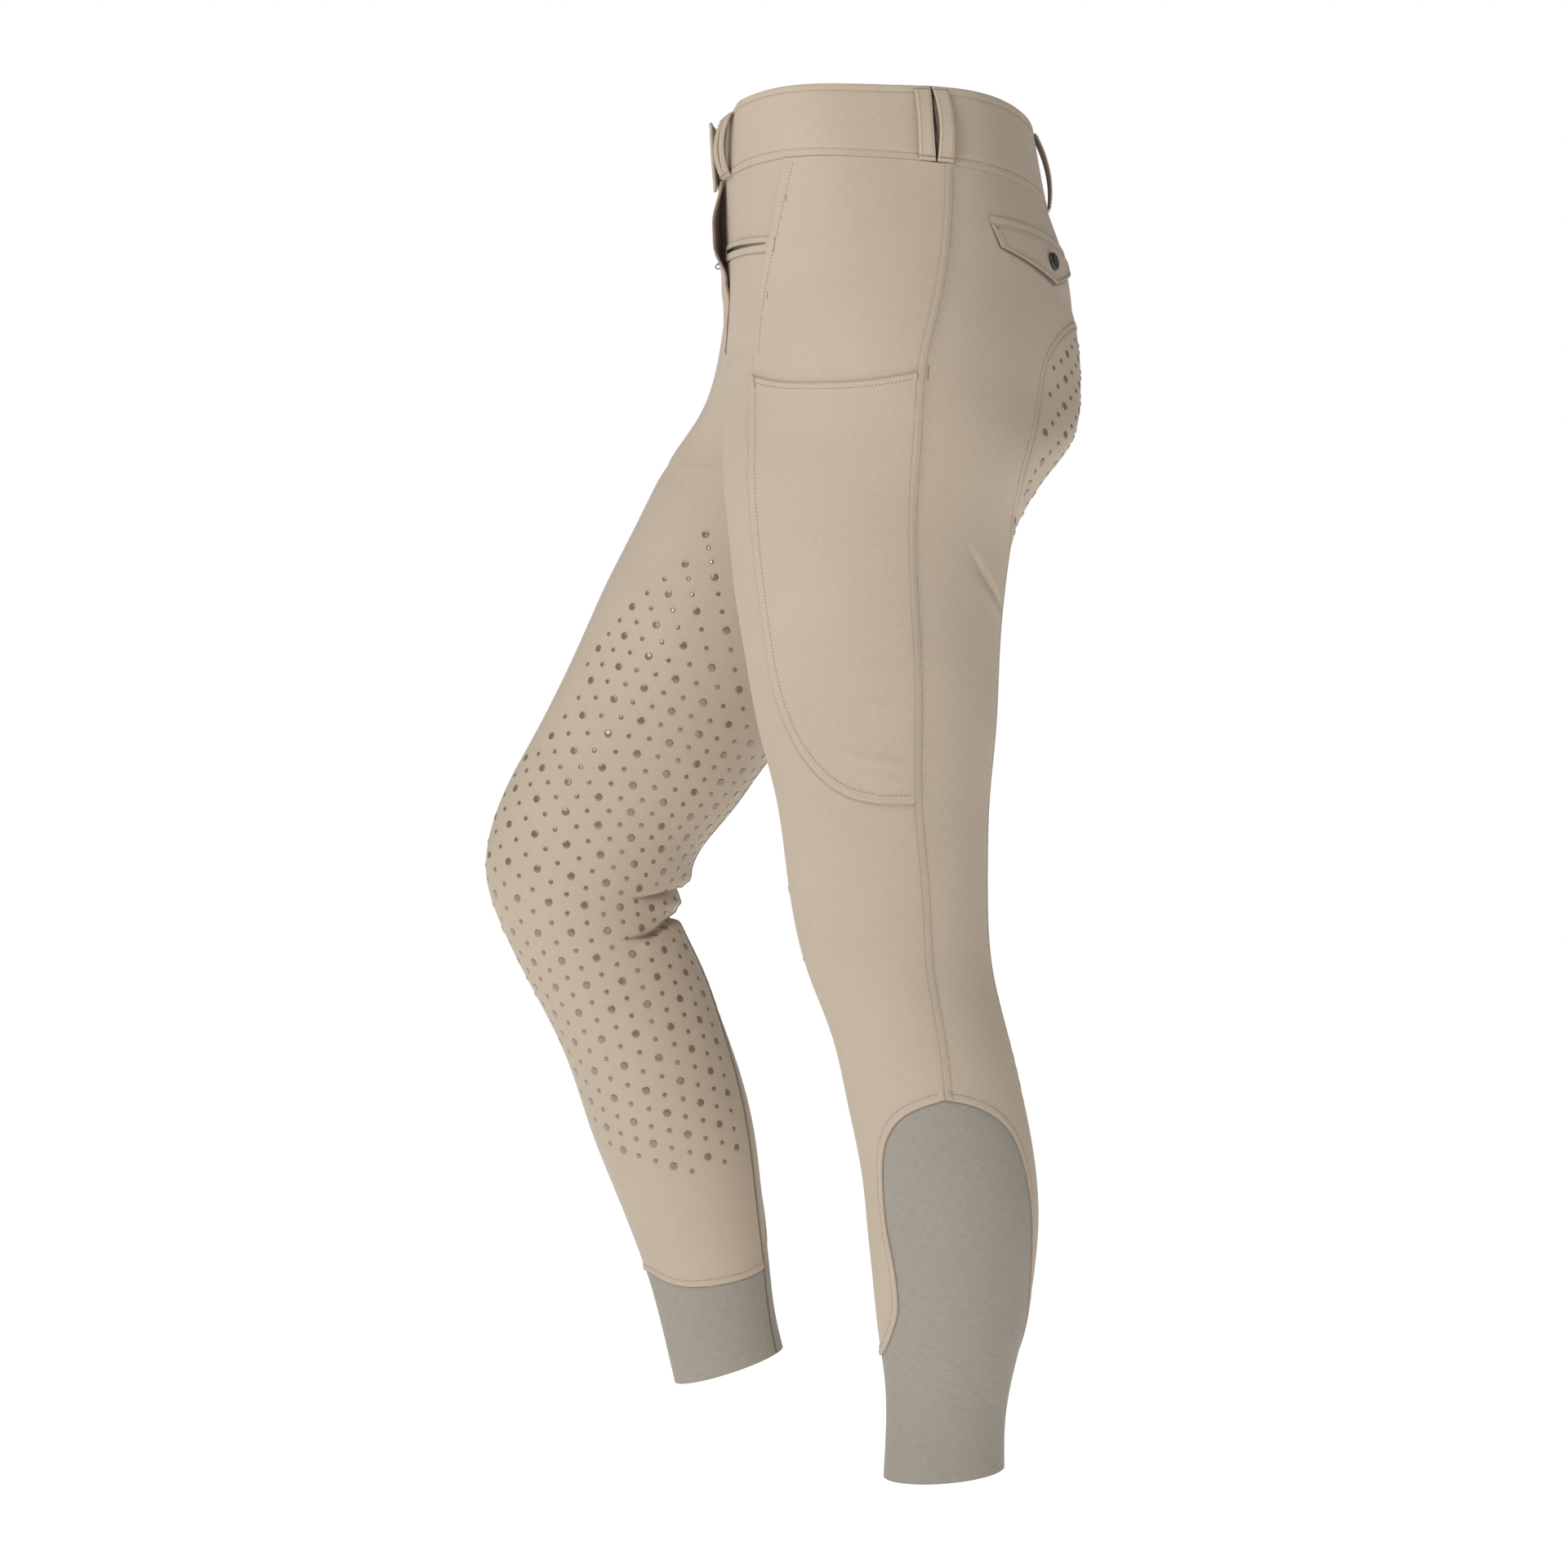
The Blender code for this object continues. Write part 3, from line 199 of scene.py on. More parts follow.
# Soft creases in the cloth: sides, path as distance down and bearing, half width above and below
# the path, height (a trough is negative), share of the path over which each end fades.
FOLDS = (
    ("R", ((0.575, 149), (0.574, 134), (0.571, 123), (0.565, 107), (0.563, 90), (0.567, 70), (0.575, 45)),
     0.0020, 0.0046, -0.0042, 0.26),
    ("R", ((0.5755, 150), (0.5745, 136), (0.5715, 124), (0.5655, 107)), 0.0010, 0.0016, -0.0014, 0.22),
    ("R", ((0.558, 118), (0.552, 104), (0.549, 90), (0.553, 74), (0.558, 60)), 0.0090, 0.0055, 0.0024, 0.45),
    ("R", ((0.594, 138), (0.587, 120), (0.581, 104), (0.580, 90), (0.583, 74), (0.588, 52)),
     0.0090, 0.0070, 0.0038, 0.40),
    ("R", ((0.612, 163), (0.612, 150), (0.609, 131), (0.604, 121), (0.599, 106), (0.597, 90), (0.601, 71),
           (0.609, 50), (0.610, 36)), 0.0028, 0.0050, -0.0070, 0.28),
    ("R", ((0.6118, 164), (0.6120, 150), (0.6092, 131), (0.6042, 121)), 0.0011, 0.0017, -0.0020, 0.22),
    ("R", ((0.6195, 158), (0.6185, 145), (0.6150, 131), (0.6110, 121)), 0.0028, 0.0050, 0.0024, 0.40),
    ("R", ((0.6065, 142), (0.6030, 132), (0.6000, 127)), 0.0014, 0.0014, -0.0016, 0.40),
    ("L", ((0.446, -22), (0.449, -15), (0.452, 0), (0.455, 14)), 0.0014, 0.0032, 0.0018, 0.35),
    ("L", ((0.4140, -9), (0.4090, 4), (0.4010, 14.5)), 0.0018, 0.0022, -0.0012, 0.40),
    ("L", ((0.4200, -8), (0.4155, 4), (0.4080, 14.5)), 0.0022, 0.0030, 0.0012, 0.40),
    ("L", ((0.462, -14), (0.464, 0), (0.464, 14)), 0.0016, 0.0024, 0.0010, 0.40),
    ("L", ((0.386, -8), (0.384, 3), (0.377, 14)), 0.0022, 0.0028, -0.0010, 0.45),
    ("L", ((0.399, -16), (0.396, -2), (0.387, 13)), 0.0022, 0.0028, 0.0009, 0.45),
    ("R", ((0.420, -20), (0.428, -6), (0.434, 8), (0.435, 15)), 0.0026, 0.0040, 0.0010, 0.40),
    ("L", ((0.308, 38), (0.318, 46), (0.330, 56), (0.344, 74), (0.353, 90)), 0.0020, 0.0044, -0.0023, 0.40),
    ("L", ((0.326, 44), (0.339, 56), (0.353, 73), (0.361, 88)), 0.0040, 0.0040, 0.0010, 0.45),
    ("R", ((0.302, 52), (0.312, 70), (0.322, 92)), 0.0030, 0.0056, -0.0020, 0.40),
    ("LR", ((0.281, 62), (0.289, 78), (0.294, 96)), 0.0030, 0.0060, -0.0022, 0.45),
    ("L", ((0.300, -84), (0.318, -104), (0.330, -128)), 0.0050, 0.0070, -0.0016, 0.45),
    ("R", ((0.262, -80), (0.276, -104), (0.286, -132)), 0.0050, 0.0060, -0.0014, 0.45),
    ("L", ((0.604, 88), (0.606, 108), (0.602, 132)), 0.0034, 0.0050, -0.0015, 0.45),
    ("L", ((0.905, -40), (0.908, -10), (0.903, 20)), 0.0024, 0.0030, -0.0006, 0.45),
    ("L", ((0.889, 10), (0.886, 40), (0.890, 66)), 0.0024, 0.0030, -0.0006, 0.45),
    ("R", ((0.902, -150), (0.907, -120), (0.903, -98)), 0.0024, 0.0030, -0.0007, 0.45),
    ("R", ((0.889, 178), (0.891, 152), (0.888, 128)), 0.0022, 0.0030, -0.0006, 0.45),
)
FOLD_STEP = 0.0012
CREASE_ROWS = (-0.0044, -0.0030, -0.0018, -0.0008, 0.0, 0.0008, 0.0018, 0.0030, 0.0044)
SHARP_FOLD = 0.0020       # folds at least this high get finer rows of facets


def smooth_step(share):
    """0 to 1 with a soft start and end."""
    share = np.clip(share, 0.0, 1.0)
    return share * share * (3.0 - 2.0 * share)


def curve_through(table):
    """Smooth curve through a table's rows, read by its first column."""
    rows = np.array(table, float)
    at, values = rows[:, 0], rows[:, 1:]
    gaps = np.diff(at)
    climb = np.diff(values, axis=0) / gaps[:, None]
    system, right = np.zeros((len(at), len(at))), np.zeros_like(values)
    for i, gap in enumerate(gaps):
        system[i:i + 2, i:i + 2] += np.array(((2, 1), (1, 2))) / gap
        right[i:i + 2] += 3 * climb[i] / gap
    slopes = np.linalg.solve(system, right)

    def read(place):
        place = np.atleast_1d(np.asarray(place, float))
        i = np.clip(np.searchsorted(at, place, side="right") - 1, 0, len(at) - 2)
        step = (at[i + 1] - at[i])[:, None]
        t = np.clip((place - at[i])[:, None] / step, 0.0, 1.0)
        return (values[i] * (1 + 2 * t) * (1 - t) ** 2 + values[i + 1] * t * t * (3 - 2 * t)
                + slopes[i] * step * t * (1 - t) ** 2 - slopes[i + 1] * step * t * t * (1 - t))
    return read


width_at = curve_through(WIDTHS)
centre_at = (curve_through(CENTRE_FRONT), curve_through(CENTRE_BACK))
section_at = {side: curve_through(rows) for side, rows in SECTIONS.items()}


def section_frame(side, down):
    """Middle, half depth and direction from front to back of the sections."""
    rows = section_at[side](down)
    front, back = rows[:, :2], rows[:, 2:]
    half = np.linalg.norm(back - front, axis=1) / 2
    return (front + back) / 2, half, (back - front) / (2 * half[:, None])


def centre_ends(side, down):
    """Where the centre seams meet each section, as an angle, and the pull they add."""
    down = np.atleast_1d(np.asarray(down, float))
    held = np.minimum(down, CROTCH_DOWN)
    middle, half, way = section_frame(side, held)
    fade = 1 - smooth_step((down - CROTCH_DOWN) / INNER_FADE)
    ends = []
    for centre in centre_at:
        place = centre(held)
        share = np.clip(np.sum((place - middle) * way, axis=1) / half * CENTRE_STRETCH, -1, 1)
        pull = place - (middle + (share * half)[:, None] * way)
        ends.append((share * fade, pull * fade[:, None]))
    (front, front_pull), (back, back_pull) = ends
    return -(math.pi + np.arcsin(front)), math.pi - np.arcsin(back), front_pull, back_pull


def smooth_form(side, angle, down):
    """Points of the garment's outer face before folds."""
    middle, half, way = section_frame(side, down)
    start, end, front_pull, back_pull = centre_ends(side, down)
    inner, outer = width_at(down).T
    cut = np.abs(np.cos(np.where(angle < 0, start, end)))
    turned = smooth_step((np.abs(np.degrees(angle)) - LEG_TURNS[0]) / (LEG_TURNS[1] - LEG_TURNS[0]))
    lower = smooth_step((down - LEG_DOWN) / (CROTCH_DOWN - LEG_DOWN))
    cut = cut * (turned + (1 - turned) * lower)
    above = down <= CROTCH_DOWN
    reach = np.where(above, outer / (1 + cut), (outer - inner) / 2)
    fullness = 1 + WAIST_FULL * np.sin(2 * angle) ** 2 * (1 - smooth_step(down / WAIST_FADE))
    x = np.maximum((outer - reach + reach * np.cos(angle)) * fullness, CENTRE_REST)
    yz = middle + (np.sin(angle) * half)[:, None] * way
    near_front = np.clip(1 - (angle - start) / CENTRE_REACH, 0, 1) ** 2
    near_back = np.clip(1 - (end - angle) / CENTRE_REACH, 0, 1) ** 2
    yz = yz + near_front[:, None] * front_pull + near_back[:, None] * back_pull
    return np.column_stack([x if side == "L" else -x, yz])


def outward(side, angle, down):
    """Directions straight out of the cloth."""
    points = smooth_form(side, angle, down)
    around = smooth_form(side, angle + NUDGE / LAYOUT_RADIUS, down) - points
    along = smooth_form(side, angle, down + NUDGE) - points
    normal = np.cross(along, around) if side == "L" else np.cross(around, along)
    return normal / np.maximum(np.linalg.norm(normal, axis=1), 1e-9)[:, None]


def fold_height(side, angle, down):
    """How far soft troughs and ridges move the cloth in or out."""
    spots = np.column_stack([angle * LAYOUT_RADIUS, down])
    height = np.zeros(len(spots))
    for sides, path, above, below, rise, fade in FOLDS:
        if side not in sides:
            continue
        line = spaced(path, FOLD_STEP)
        reach = 3 * max(above, below)
        near = np.flatnonzero(np.all((spots > line.min(axis=0) - reach)
                                     & (spots < line.max(axis=0) + reach), axis=1))
        if not len(near):
            continue
        apart = spots[near][:, None] - line
        gaps = np.linalg.norm(apart, axis=2)
        nearest = np.argmin(gaps, axis=1)
        rows = np.arange(len(near))
        share = nearest / (len(line) - 1)
        wide = np.where(apart[rows, nearest, 1] < 0, above, below)
        taper = smooth_step(share / fade) * smooth_step((1 - share) / fade)
        height[near] += rise * taper * np.exp(-(gaps[rows, nearest] / wide) ** 2)
    return height


def form(side, angle, down):
    """Points of the garment's outer face, with its folds."""
    return smooth_form(side, angle, down) + outward(side, angle, down) * fold_height(side, angle, down)[:, None]


def flat(bearing, down):
    """A place in the layout, from its bearing and distance down."""
    return np.array([math.radians(bearing) * LAYOUT_RADIUS, down])


def spaced(table, step=SEAM_STEP):
    """Even points along the smooth line through rows of distance down and bearing."""
    rows = np.array([flat(bearing, down) for down, bearing in table])
    travel = np.concatenate([[0], np.cumsum(np.linalg.norm(np.diff(rows, axis=0), axis=1))])
    line = curve_through(np.column_stack([travel, rows]))
    count = max(1, round(travel[-1] / step))
    return line(np.linspace(0, travel[-1], count + 1))


def straight(table, step=SEAM_STEP):
    """Even points along straight runs between the rows."""
    runs = [spaced(table[i:i + 2], step) for i in range(len(table) - 1)]
    return np.vstack([run[:-1] for run in runs] + [runs[-1][-1:]])


def met_by(line, point):
    """The line with its nearest point moved onto the end of another line."""
    line = line.copy()
    line[np.argmin(np.linalg.norm(line - point, axis=1))] = point
    return line


def inside(points, loop):
    """Which points lie inside a closed outline."""
    result = np.zeros(len(points), bool)
    near = np.all((points >= loop.min(axis=0)) & (points <= loop.max(axis=0)), axis=1)
    x, y = points[near].T
    hit = np.zeros(len(x), bool)
    for (ax, ay), (bx, by) in zip(loop, np.roll(loop, -1, axis=0)):
        if ay != by:
            crosses = (ay > y) != (by > y)
            hit ^= crosses & (x < ax + (y - ay) * (bx - ax) / (by - ay))
    result[near] = hit
    return result


def cut_lines(side):
    """Every seam and edge of one side, as lines in the layout."""
    turn = np.array([2 * math.pi * LAYOUT_RADIUS, 0])
    lines = {
        "side_seam": spaced(SIDE_SEAM), "panel_edge": spaced(PANEL_EDGE), "wing": spaced(WING_SEAM),
        "cuff_back": spaced(CUFF_BACK), "cuff_front": spaced(CUFF_FRONT),
        "calf_front": spaced(CALF_FRONT), "calf_back": spaced(CALF_BACK),
        "cuff_top_front": spaced(CUFF_TOP[:CUFF_SPLIT + 1]),
        "cuff_top_back": spaced(CUFF_TOP[CUFF_SPLIT:]) + turn,
        "mouth": spaced(POCKET_MOUTH),
        "welt": np.vstack([spaced(WELT_TOP), spaced(WELT_LOW)[::-1], spaced(WELT_TOP)[:1]]),
        "slit": np.vstack([spaced(SLIT_TOP), spaced(SLIT_LOW)[::-1], spaced(SLIT_TOP)[:1]]),
        "flap_top": spaced(FLAP_TOP), "flap_edge": straight(FLAP_EDGE),
        "back_welt": np.vstack([spaced(BACK_WELT), spaced(FLAP_TOP)[::-1], spaced(BACK_WELT)[:1]]),
    }
    lines["panel_foot"] = straight((PANEL_EDGE[-1], (PANEL_EDGE[-1][0], SEAM_AT_FOOT)))
    lines["side_seam"] = met_by(lines["side_seam"], lines["panel_foot"][-1])
    for end in (0, -1):
        name = ("panel_edge", "side_seam")[end]
        lines[name] = met_by(lines[name], lines["mouth"][end])
    under = lines["mouth"] + [0, POCKET_OVERLAP]
    for end in (0, -1):
        name = ("panel_edge", "side_seam")[end]
        near = lines[name][np.argmin(np.linalg.norm(lines[name] - under[end], axis=1))]
        under[end] = near
    lines["under_mouth"] = under
    lines["cuff_back"] = met_by(lines["cuff_back"], lines["cuff_top_back"][-1])
    if side == "L":
        lines["fly_clear"] = straight(FLY_CLEAR)
        lines["fly_edge"] = spaced(FLY_EDGE)
    return lines


def regions(side, lines):
    """Which places in the layout belong to each piece."""
    def loop(*names):
        runs = [lines[name.lstrip("-")][::-1] if name[0] == "-" else lines[name] for name in names]
        return np.vstack(runs)

    back_edge = np.array([flat(100, BAND_HEIGHT - 0.01), flat(100, WING_SEAM[0][0])])
    above = np.array([flat(SIDE_SEAM[0][1], BAND_HEIGHT - 0.01)])
    hem = np.array([flat(CUFF_BACK[-1][1], HEM_DOWN + 0.01), flat(CUFF_FRONT[-1][1], HEM_DOWN + 0.01)])
    back = np.vstack([above, back_edge, loop("wing", "-calf_back", "-side_seam")])
    calf = np.vstack([loop("calf_back", "cuff_back"), hem, loop("-cuff_front", "-calf_front")])
    patch = np.vstack([above, loop("side_seam"), loop("-panel_foot", "-panel_edge"),
                       [flat(PANEL_EDGE[0][1], BAND_HEIGHT - 0.01)]])
    foot = PANEL_EDGE[-1][0]
    mouth, under = lines["mouth"], lines["under_mouth"]
    cuff_front, cuff_back = lines["cuff_top_front"][::-1], lines["cuff_top_back"][::-1]

    def belongs(points):
        x, down = points.T
        seam_side = inside(points, patch) & (down < foot)
        on_calf = inside(points, calf)
        on_back = inside(points, back)
        brim = np.where(x < 0, np.interp(x, *cuff_front.T), np.interp(x, *cuff_back.T))
        on_cuff = (down > brim) & ~on_calf & ~on_back
        found = {
            "calf_panel": on_calf, "back": on_back & ~on_calf, "inner_cuff": on_cuff,
            "side_panel": seam_side & (down < np.interp(x, *under.T)),
            "phone_pocket": seam_side & (down > np.interp(x, *mouth.T)),
            "front_pocket_welt": inside(points, lines["welt"]) & ~inside(points, lines["slit"]),
            "back_pocket_flap": inside(points, np.vstack([lines["flap_top"], lines["flap_edge"][::-1]])),
            "back_pocket_welt": inside(points, lines["back_welt"]),
        }
        found["front_and_inner_leg"] = ~(on_calf | on_back | on_cuff)
        if side == "L":
            root = np.array([flat(-100, BAND_HEIGHT - 0.01), flat(-100, FLY_EDGE[-1][0])])
            top_out = np.array([flat(FLY_EDGE[0][1], BAND_HEIGHT - 0.01)])
            found["fly"] = inside(points, np.vstack([root, lines["fly_edge"][::-1], top_out]))
            clear = lines["fly_clear"]
            shut = np.array([flat(-100, clear[-1, 1]), flat(-100, BAND_HEIGHT - 0.01),
                             flat(FLY_CLEAR[0][1], BAND_HEIGHT - 0.01)])
            found["front_and_inner_leg"] &= ~inside(points, np.vstack([clear, shut]))
        return found
    return belongs


def beside(line, distance):
    """The same line moved sideways in the layout."""
    way = np.gradient(line, axis=0)
    way /= np.maximum(np.linalg.norm(way, axis=1), 1e-9)[:, None]
    return line + np.column_stack([way[:, 1], -way[:, 0]]) * distance


def tree_of(points):
    """A search tree over points of the plane or of space."""
    tree = kdtree.KDTree(len(points))
    for i, point in enumerate(points):
        tree.insert((*point, 0.0) if len(point) == 2 else point, i)
    tree.balance()
    return tree


def reach_to(tree, points):
    """Distance from each point to the nearest in a tree."""
    return np.array([tree.find((*p, 0.0) if len(p) == 2 else p)[2] for p in points])


def cloth_width(side):
    """Length around the section from the outer side, in metres, by bearing and distance down."""
    rows = np.linspace(0, HEM_DOWN, 160)
    turns = np.radians(np.arange(-225, 226, 3.0))
    angle, down = np.meshgrid(turns, rows)
    places = smooth_form(side, angle.ravel(), down.ravel()).reshape(len(rows), len(turns), 3)
    travel = np.cumsum(np.linalg.norm(np.diff(places, axis=1), axis=2), axis=1)
    travel = np.column_stack([np.zeros(len(rows)), travel])
    travel -= travel[:, [len(turns) // 2]]

    def read(angle, down):
        across = np.clip((angle - turns[0]) / (turns[1] - turns[0]), 0, len(turns) - 1.001)
        low = np.clip(down / (rows[1] - rows[0]), 0, len(rows) - 1.001)
        i, j = low.astype(int), across.astype(int)
        fi, fj = low - i, across - j
        return ((travel[i, j] * (1 - fj) + travel[i, j + 1] * fj) * (1 - fi)
                + (travel[i + 1, j] * (1 - fj) + travel[i + 1, j + 1] * fj) * fi)
    return read


def lay_out(side):
    """Cut one side into small facets along its seams: points, facets and what each belongs to."""
    lines = cut_lines(side)
    down = np.linspace(BAND_HEIGHT, HEM_DOWN, round((HEM_DOWN - BAND_HEIGHT) / SEAM_STEP) + 1)
    for exact in (CROTCH_DOWN, CUFF_TOP[CUFF_SPLIT][0], WING_SEAM[0][0], FLY_EDGE[-1][0], FLY_CLEAR[-1][0]):
        down[np.argmin(np.abs(down - exact))] = exact
    start, end, _, _ = centre_ends(side, down)
    front_line = np.column_stack([start * LAYOUT_RADIUS, down])
    back_line = np.column_stack([end * LAYOUT_RADIUS, down])
    lines["wing"][0] = back_line[np.argmin(np.abs(down - WING_SEAM[0][0]))]
    top = np.linspace(front_line[0], back_line[0], 80)
    hem = np.linspace(front_line[-1], back_line[-1], 150)
    places, edges = [], []
    for line in (front_line, back_line, top, hem, *lines.values()):
        first = len(places)
        places.extend(line.tolist())
        edges.extend((i, i + 1) for i in range(first, len(places) - 1))
    fixed = np.array(places)

    def within(points):
        starts, ends, _, _ = centre_ends(side, points[:, 1])
        kept = (points[:, 0] > starts * LAYOUT_RADIUS + 0.0006) & (points[:, 0] < ends * LAYOUT_RADIUS - 0.0006)
        return points[kept & (points[:, 1] > BAND_HEIGHT + 0.0006) & (points[:, 1] < HEM_DOWN - 0.0006)]

    edge_rows = [beside(line, off) for line in (front_line, back_line, top, hem, *lines.values())
                 for off in (-0.0024, -0.0010, 0.0010, 0.0024)]
    edge_rows += [beside(spaced(path, FOLD_STEP), off) for sides, path, _, _, rise, _ in FOLDS
                  if side in sides and abs(rise) >= SHARP_FOLD for off in CREASE_ROWS]
    edge_rows = within(np.vstack(edge_rows))
    edge_rows = edge_rows[reach_to(tree_of(fixed), edge_rows) > 0.0009]
    low, high = fixed.min(axis=0), fixed.max(axis=0)
    x = np.arange(low[0], high[0], CELL)
    y = np.arange(low[1], high[1], CELL * math.sqrt(3) / 2)
    grid = np.array([(px + (row % 2) * CELL / 2, py) for row, py in enumerate(y) for px in x])
    grid = within(grid)
    grid = grid[reach_to(tree_of(np.vstack([fixed, edge_rows])), grid) > 0.0021]
    places = np.vstack([fixed, edge_rows, grid])

    corners, _, faces, came_from, _, _ = delaunay_2d_cdt([Vector(p) for p in places], edges, [], 0, 1e-5)
    spots = np.array([places[ids[0]] if ids else tuple(c) for c, ids in zip(corners, came_from)])
    faces = np.array([f for f in faces if len(f) == 3])
    middles = spots[faces].mean(axis=1)
    kept = ((middles[:, 0] > np.interp(middles[:, 1], down, front_line[:, 0]))
            & (middles[:, 0] < np.interp(middles[:, 1], down, back_line[:, 0])))
    faces, middles = faces[kept], middles[kept]
    owner = regions(side, lines)(middles)
    lookup = {i: k for k, ids in enumerate(came_from) for i in ids}
    turned = {}
    for i, row in enumerate(down):
        if row >= CROTCH_DOWN - 1e-9:
            turned[lookup[len(down) + i]] = lookup[i]
    swap = np.arange(len(spots))
    for high_end, low_end in turned.items():
        swap[high_end] = low_end
    points = form(side, spots[:, 0] / LAYOUT_RADIUS, spots[:, 1])
    if side == "L":
        faces = faces[:, ::-1]
    joined = swap[faces]
    normals = np.zeros_like(points)
    for corner in range(3):
        a, b, c = (points[joined[:, (corner + k) % 3]] for k in range(3))
        np.add.at(normals, joined[:, corner], np.cross(b - a, c - a))
    normals = normals[swap]
    normals /= np.maximum(np.linalg.norm(normals, axis=1), 1e-12)[:, None]
    return dict(side=side, spots=spots, points=points[swap], normals=normals, faces=faces, joined=joined,
                owner=owner, lines=lines, width=cloth_width(side))


layouts = {side: lay_out(side) for side in ("L", "R")}


def set_inputs(node, values):
    """Values for some of a node's inputs, by name."""
    for name, value in values.items():
        node.inputs[name].default_value = value


def add_node(nodes, kind, values=(), **settings):
    """A shader node with its settings and some of its inputs set."""
    node = nodes.new(kind)
    for name, value in settings.items():
        setattr(node, name, value)
    set_inputs(node, dict(values))
    return node


def tone_ramp(nodes, *steps):
    """A colour ramp between two tones, each with its place."""
    ramp = nodes.new("ShaderNodeValToRGB")
    for element, (place, tone) in zip(ramp.color_ramp.elements, steps):
        element.position = place
        element.color = (*tone, 1.0)
    return ramp


def new_finish(name):
    """A new material, its nodes and links and its main shader."""
    material = bpy.data.materials.new(name)
    material.use_nodes = True
    nodes = material.node_tree.nodes
    return material, nodes, material.node_tree.links, nodes["Principled BSDF"]


def knit_group():
    """Fine cross threads and slubs of a woven stretch cloth, read from its own length and width."""
    group = bpy.data.node_groups.new("stretch_weave", "ShaderNodeTree")
    for label, way, kind in (("Place", "INPUT", "Vector"), ("Slub", "INPUT", "Float"), ("Rib", "INPUT", "Float"),
                             ("Tone", "OUTPUT", "Float"), ("Height", "OUTPUT", "Float")):
        group.interface.new_socket(label, in_out=way, socket_type="NodeSocket" + kind)
    nodes, links = group.nodes, group.links
    source = nodes.new("NodeGroupInput")
    result = nodes.new("NodeGroupOutput")

    def threads(scale, detail):
        turn = add_node(nodes, "ShaderNodeMapping", {"Scale": scale})
        noise = add_node(nodes, "ShaderNodeTexNoise", {"Scale": 1.0, "Detail": detail})
        links.new(source.outputs["Place"], turn.inputs["Vector"])
        links.new(turn.outputs["Vector"], noise.inputs["Vector"])
        return noise.outputs["Fac"]

    def maths(kind, first, second):
        node = nodes.new("ShaderNodeMath")
        node.operation = kind
        for socket, value in zip(node.inputs, (first, second)):
            if isinstance(value, float):
                socket.default_value = value
            else:
                links.new(value, socket)
        return node.outputs[0]

    across = threads((150.0, 1250.0, 1.0), 2.0)
    along = threads((1250.0, 190.0, 1.0), 2.0)
    split = nodes.new("ShaderNodeSeparateXYZ")
    links.new(source.outputs["Place"], split.inputs[0])
    rib = maths("SINE", maths("MULTIPLY", split.outputs["X"], 2 * math.pi / 0.0014), 0.0)
    crossing = maths("ADD", maths("MULTIPLY", across, 0.62), maths("MULTIPLY", along, 0.38))
    tone = maths("ADD", maths("MULTIPLY", maths("SUBTRACT", crossing, 0.5), source.outputs["Slub"]), 0.5)
    ribbed = maths("MULTIPLY", rib, source.outputs["Rib"])
    links.new(maths("ADD", tone, maths("MULTIPLY", ribbed, 0.25)), result.inputs["Tone"])
    links.new(maths("ADD", crossing, ribbed), result.inputs["Height"])
    return group


stretch_weave = knit_group()
# Painted shade brown: the fly's whole inner face takes it in full, and the inner leg behind the crotch turns a
# little towards it, partly for the print's tint and partly for painted shade.
SHADE_AND_PRINT_BROWN = (0.200, 0.118, 0.078)
PRINT_AND_SHADE_TONE = 0.12
PRINT_AND_SHADE_TURN = (96, 16)       # where this darker tone, part print tint and part painted shade, starts, in degrees, and how soon it is full
PRINT_AND_SHADE_DOWN = (0.28, 0.05)   # where it starts to fade, and over how far


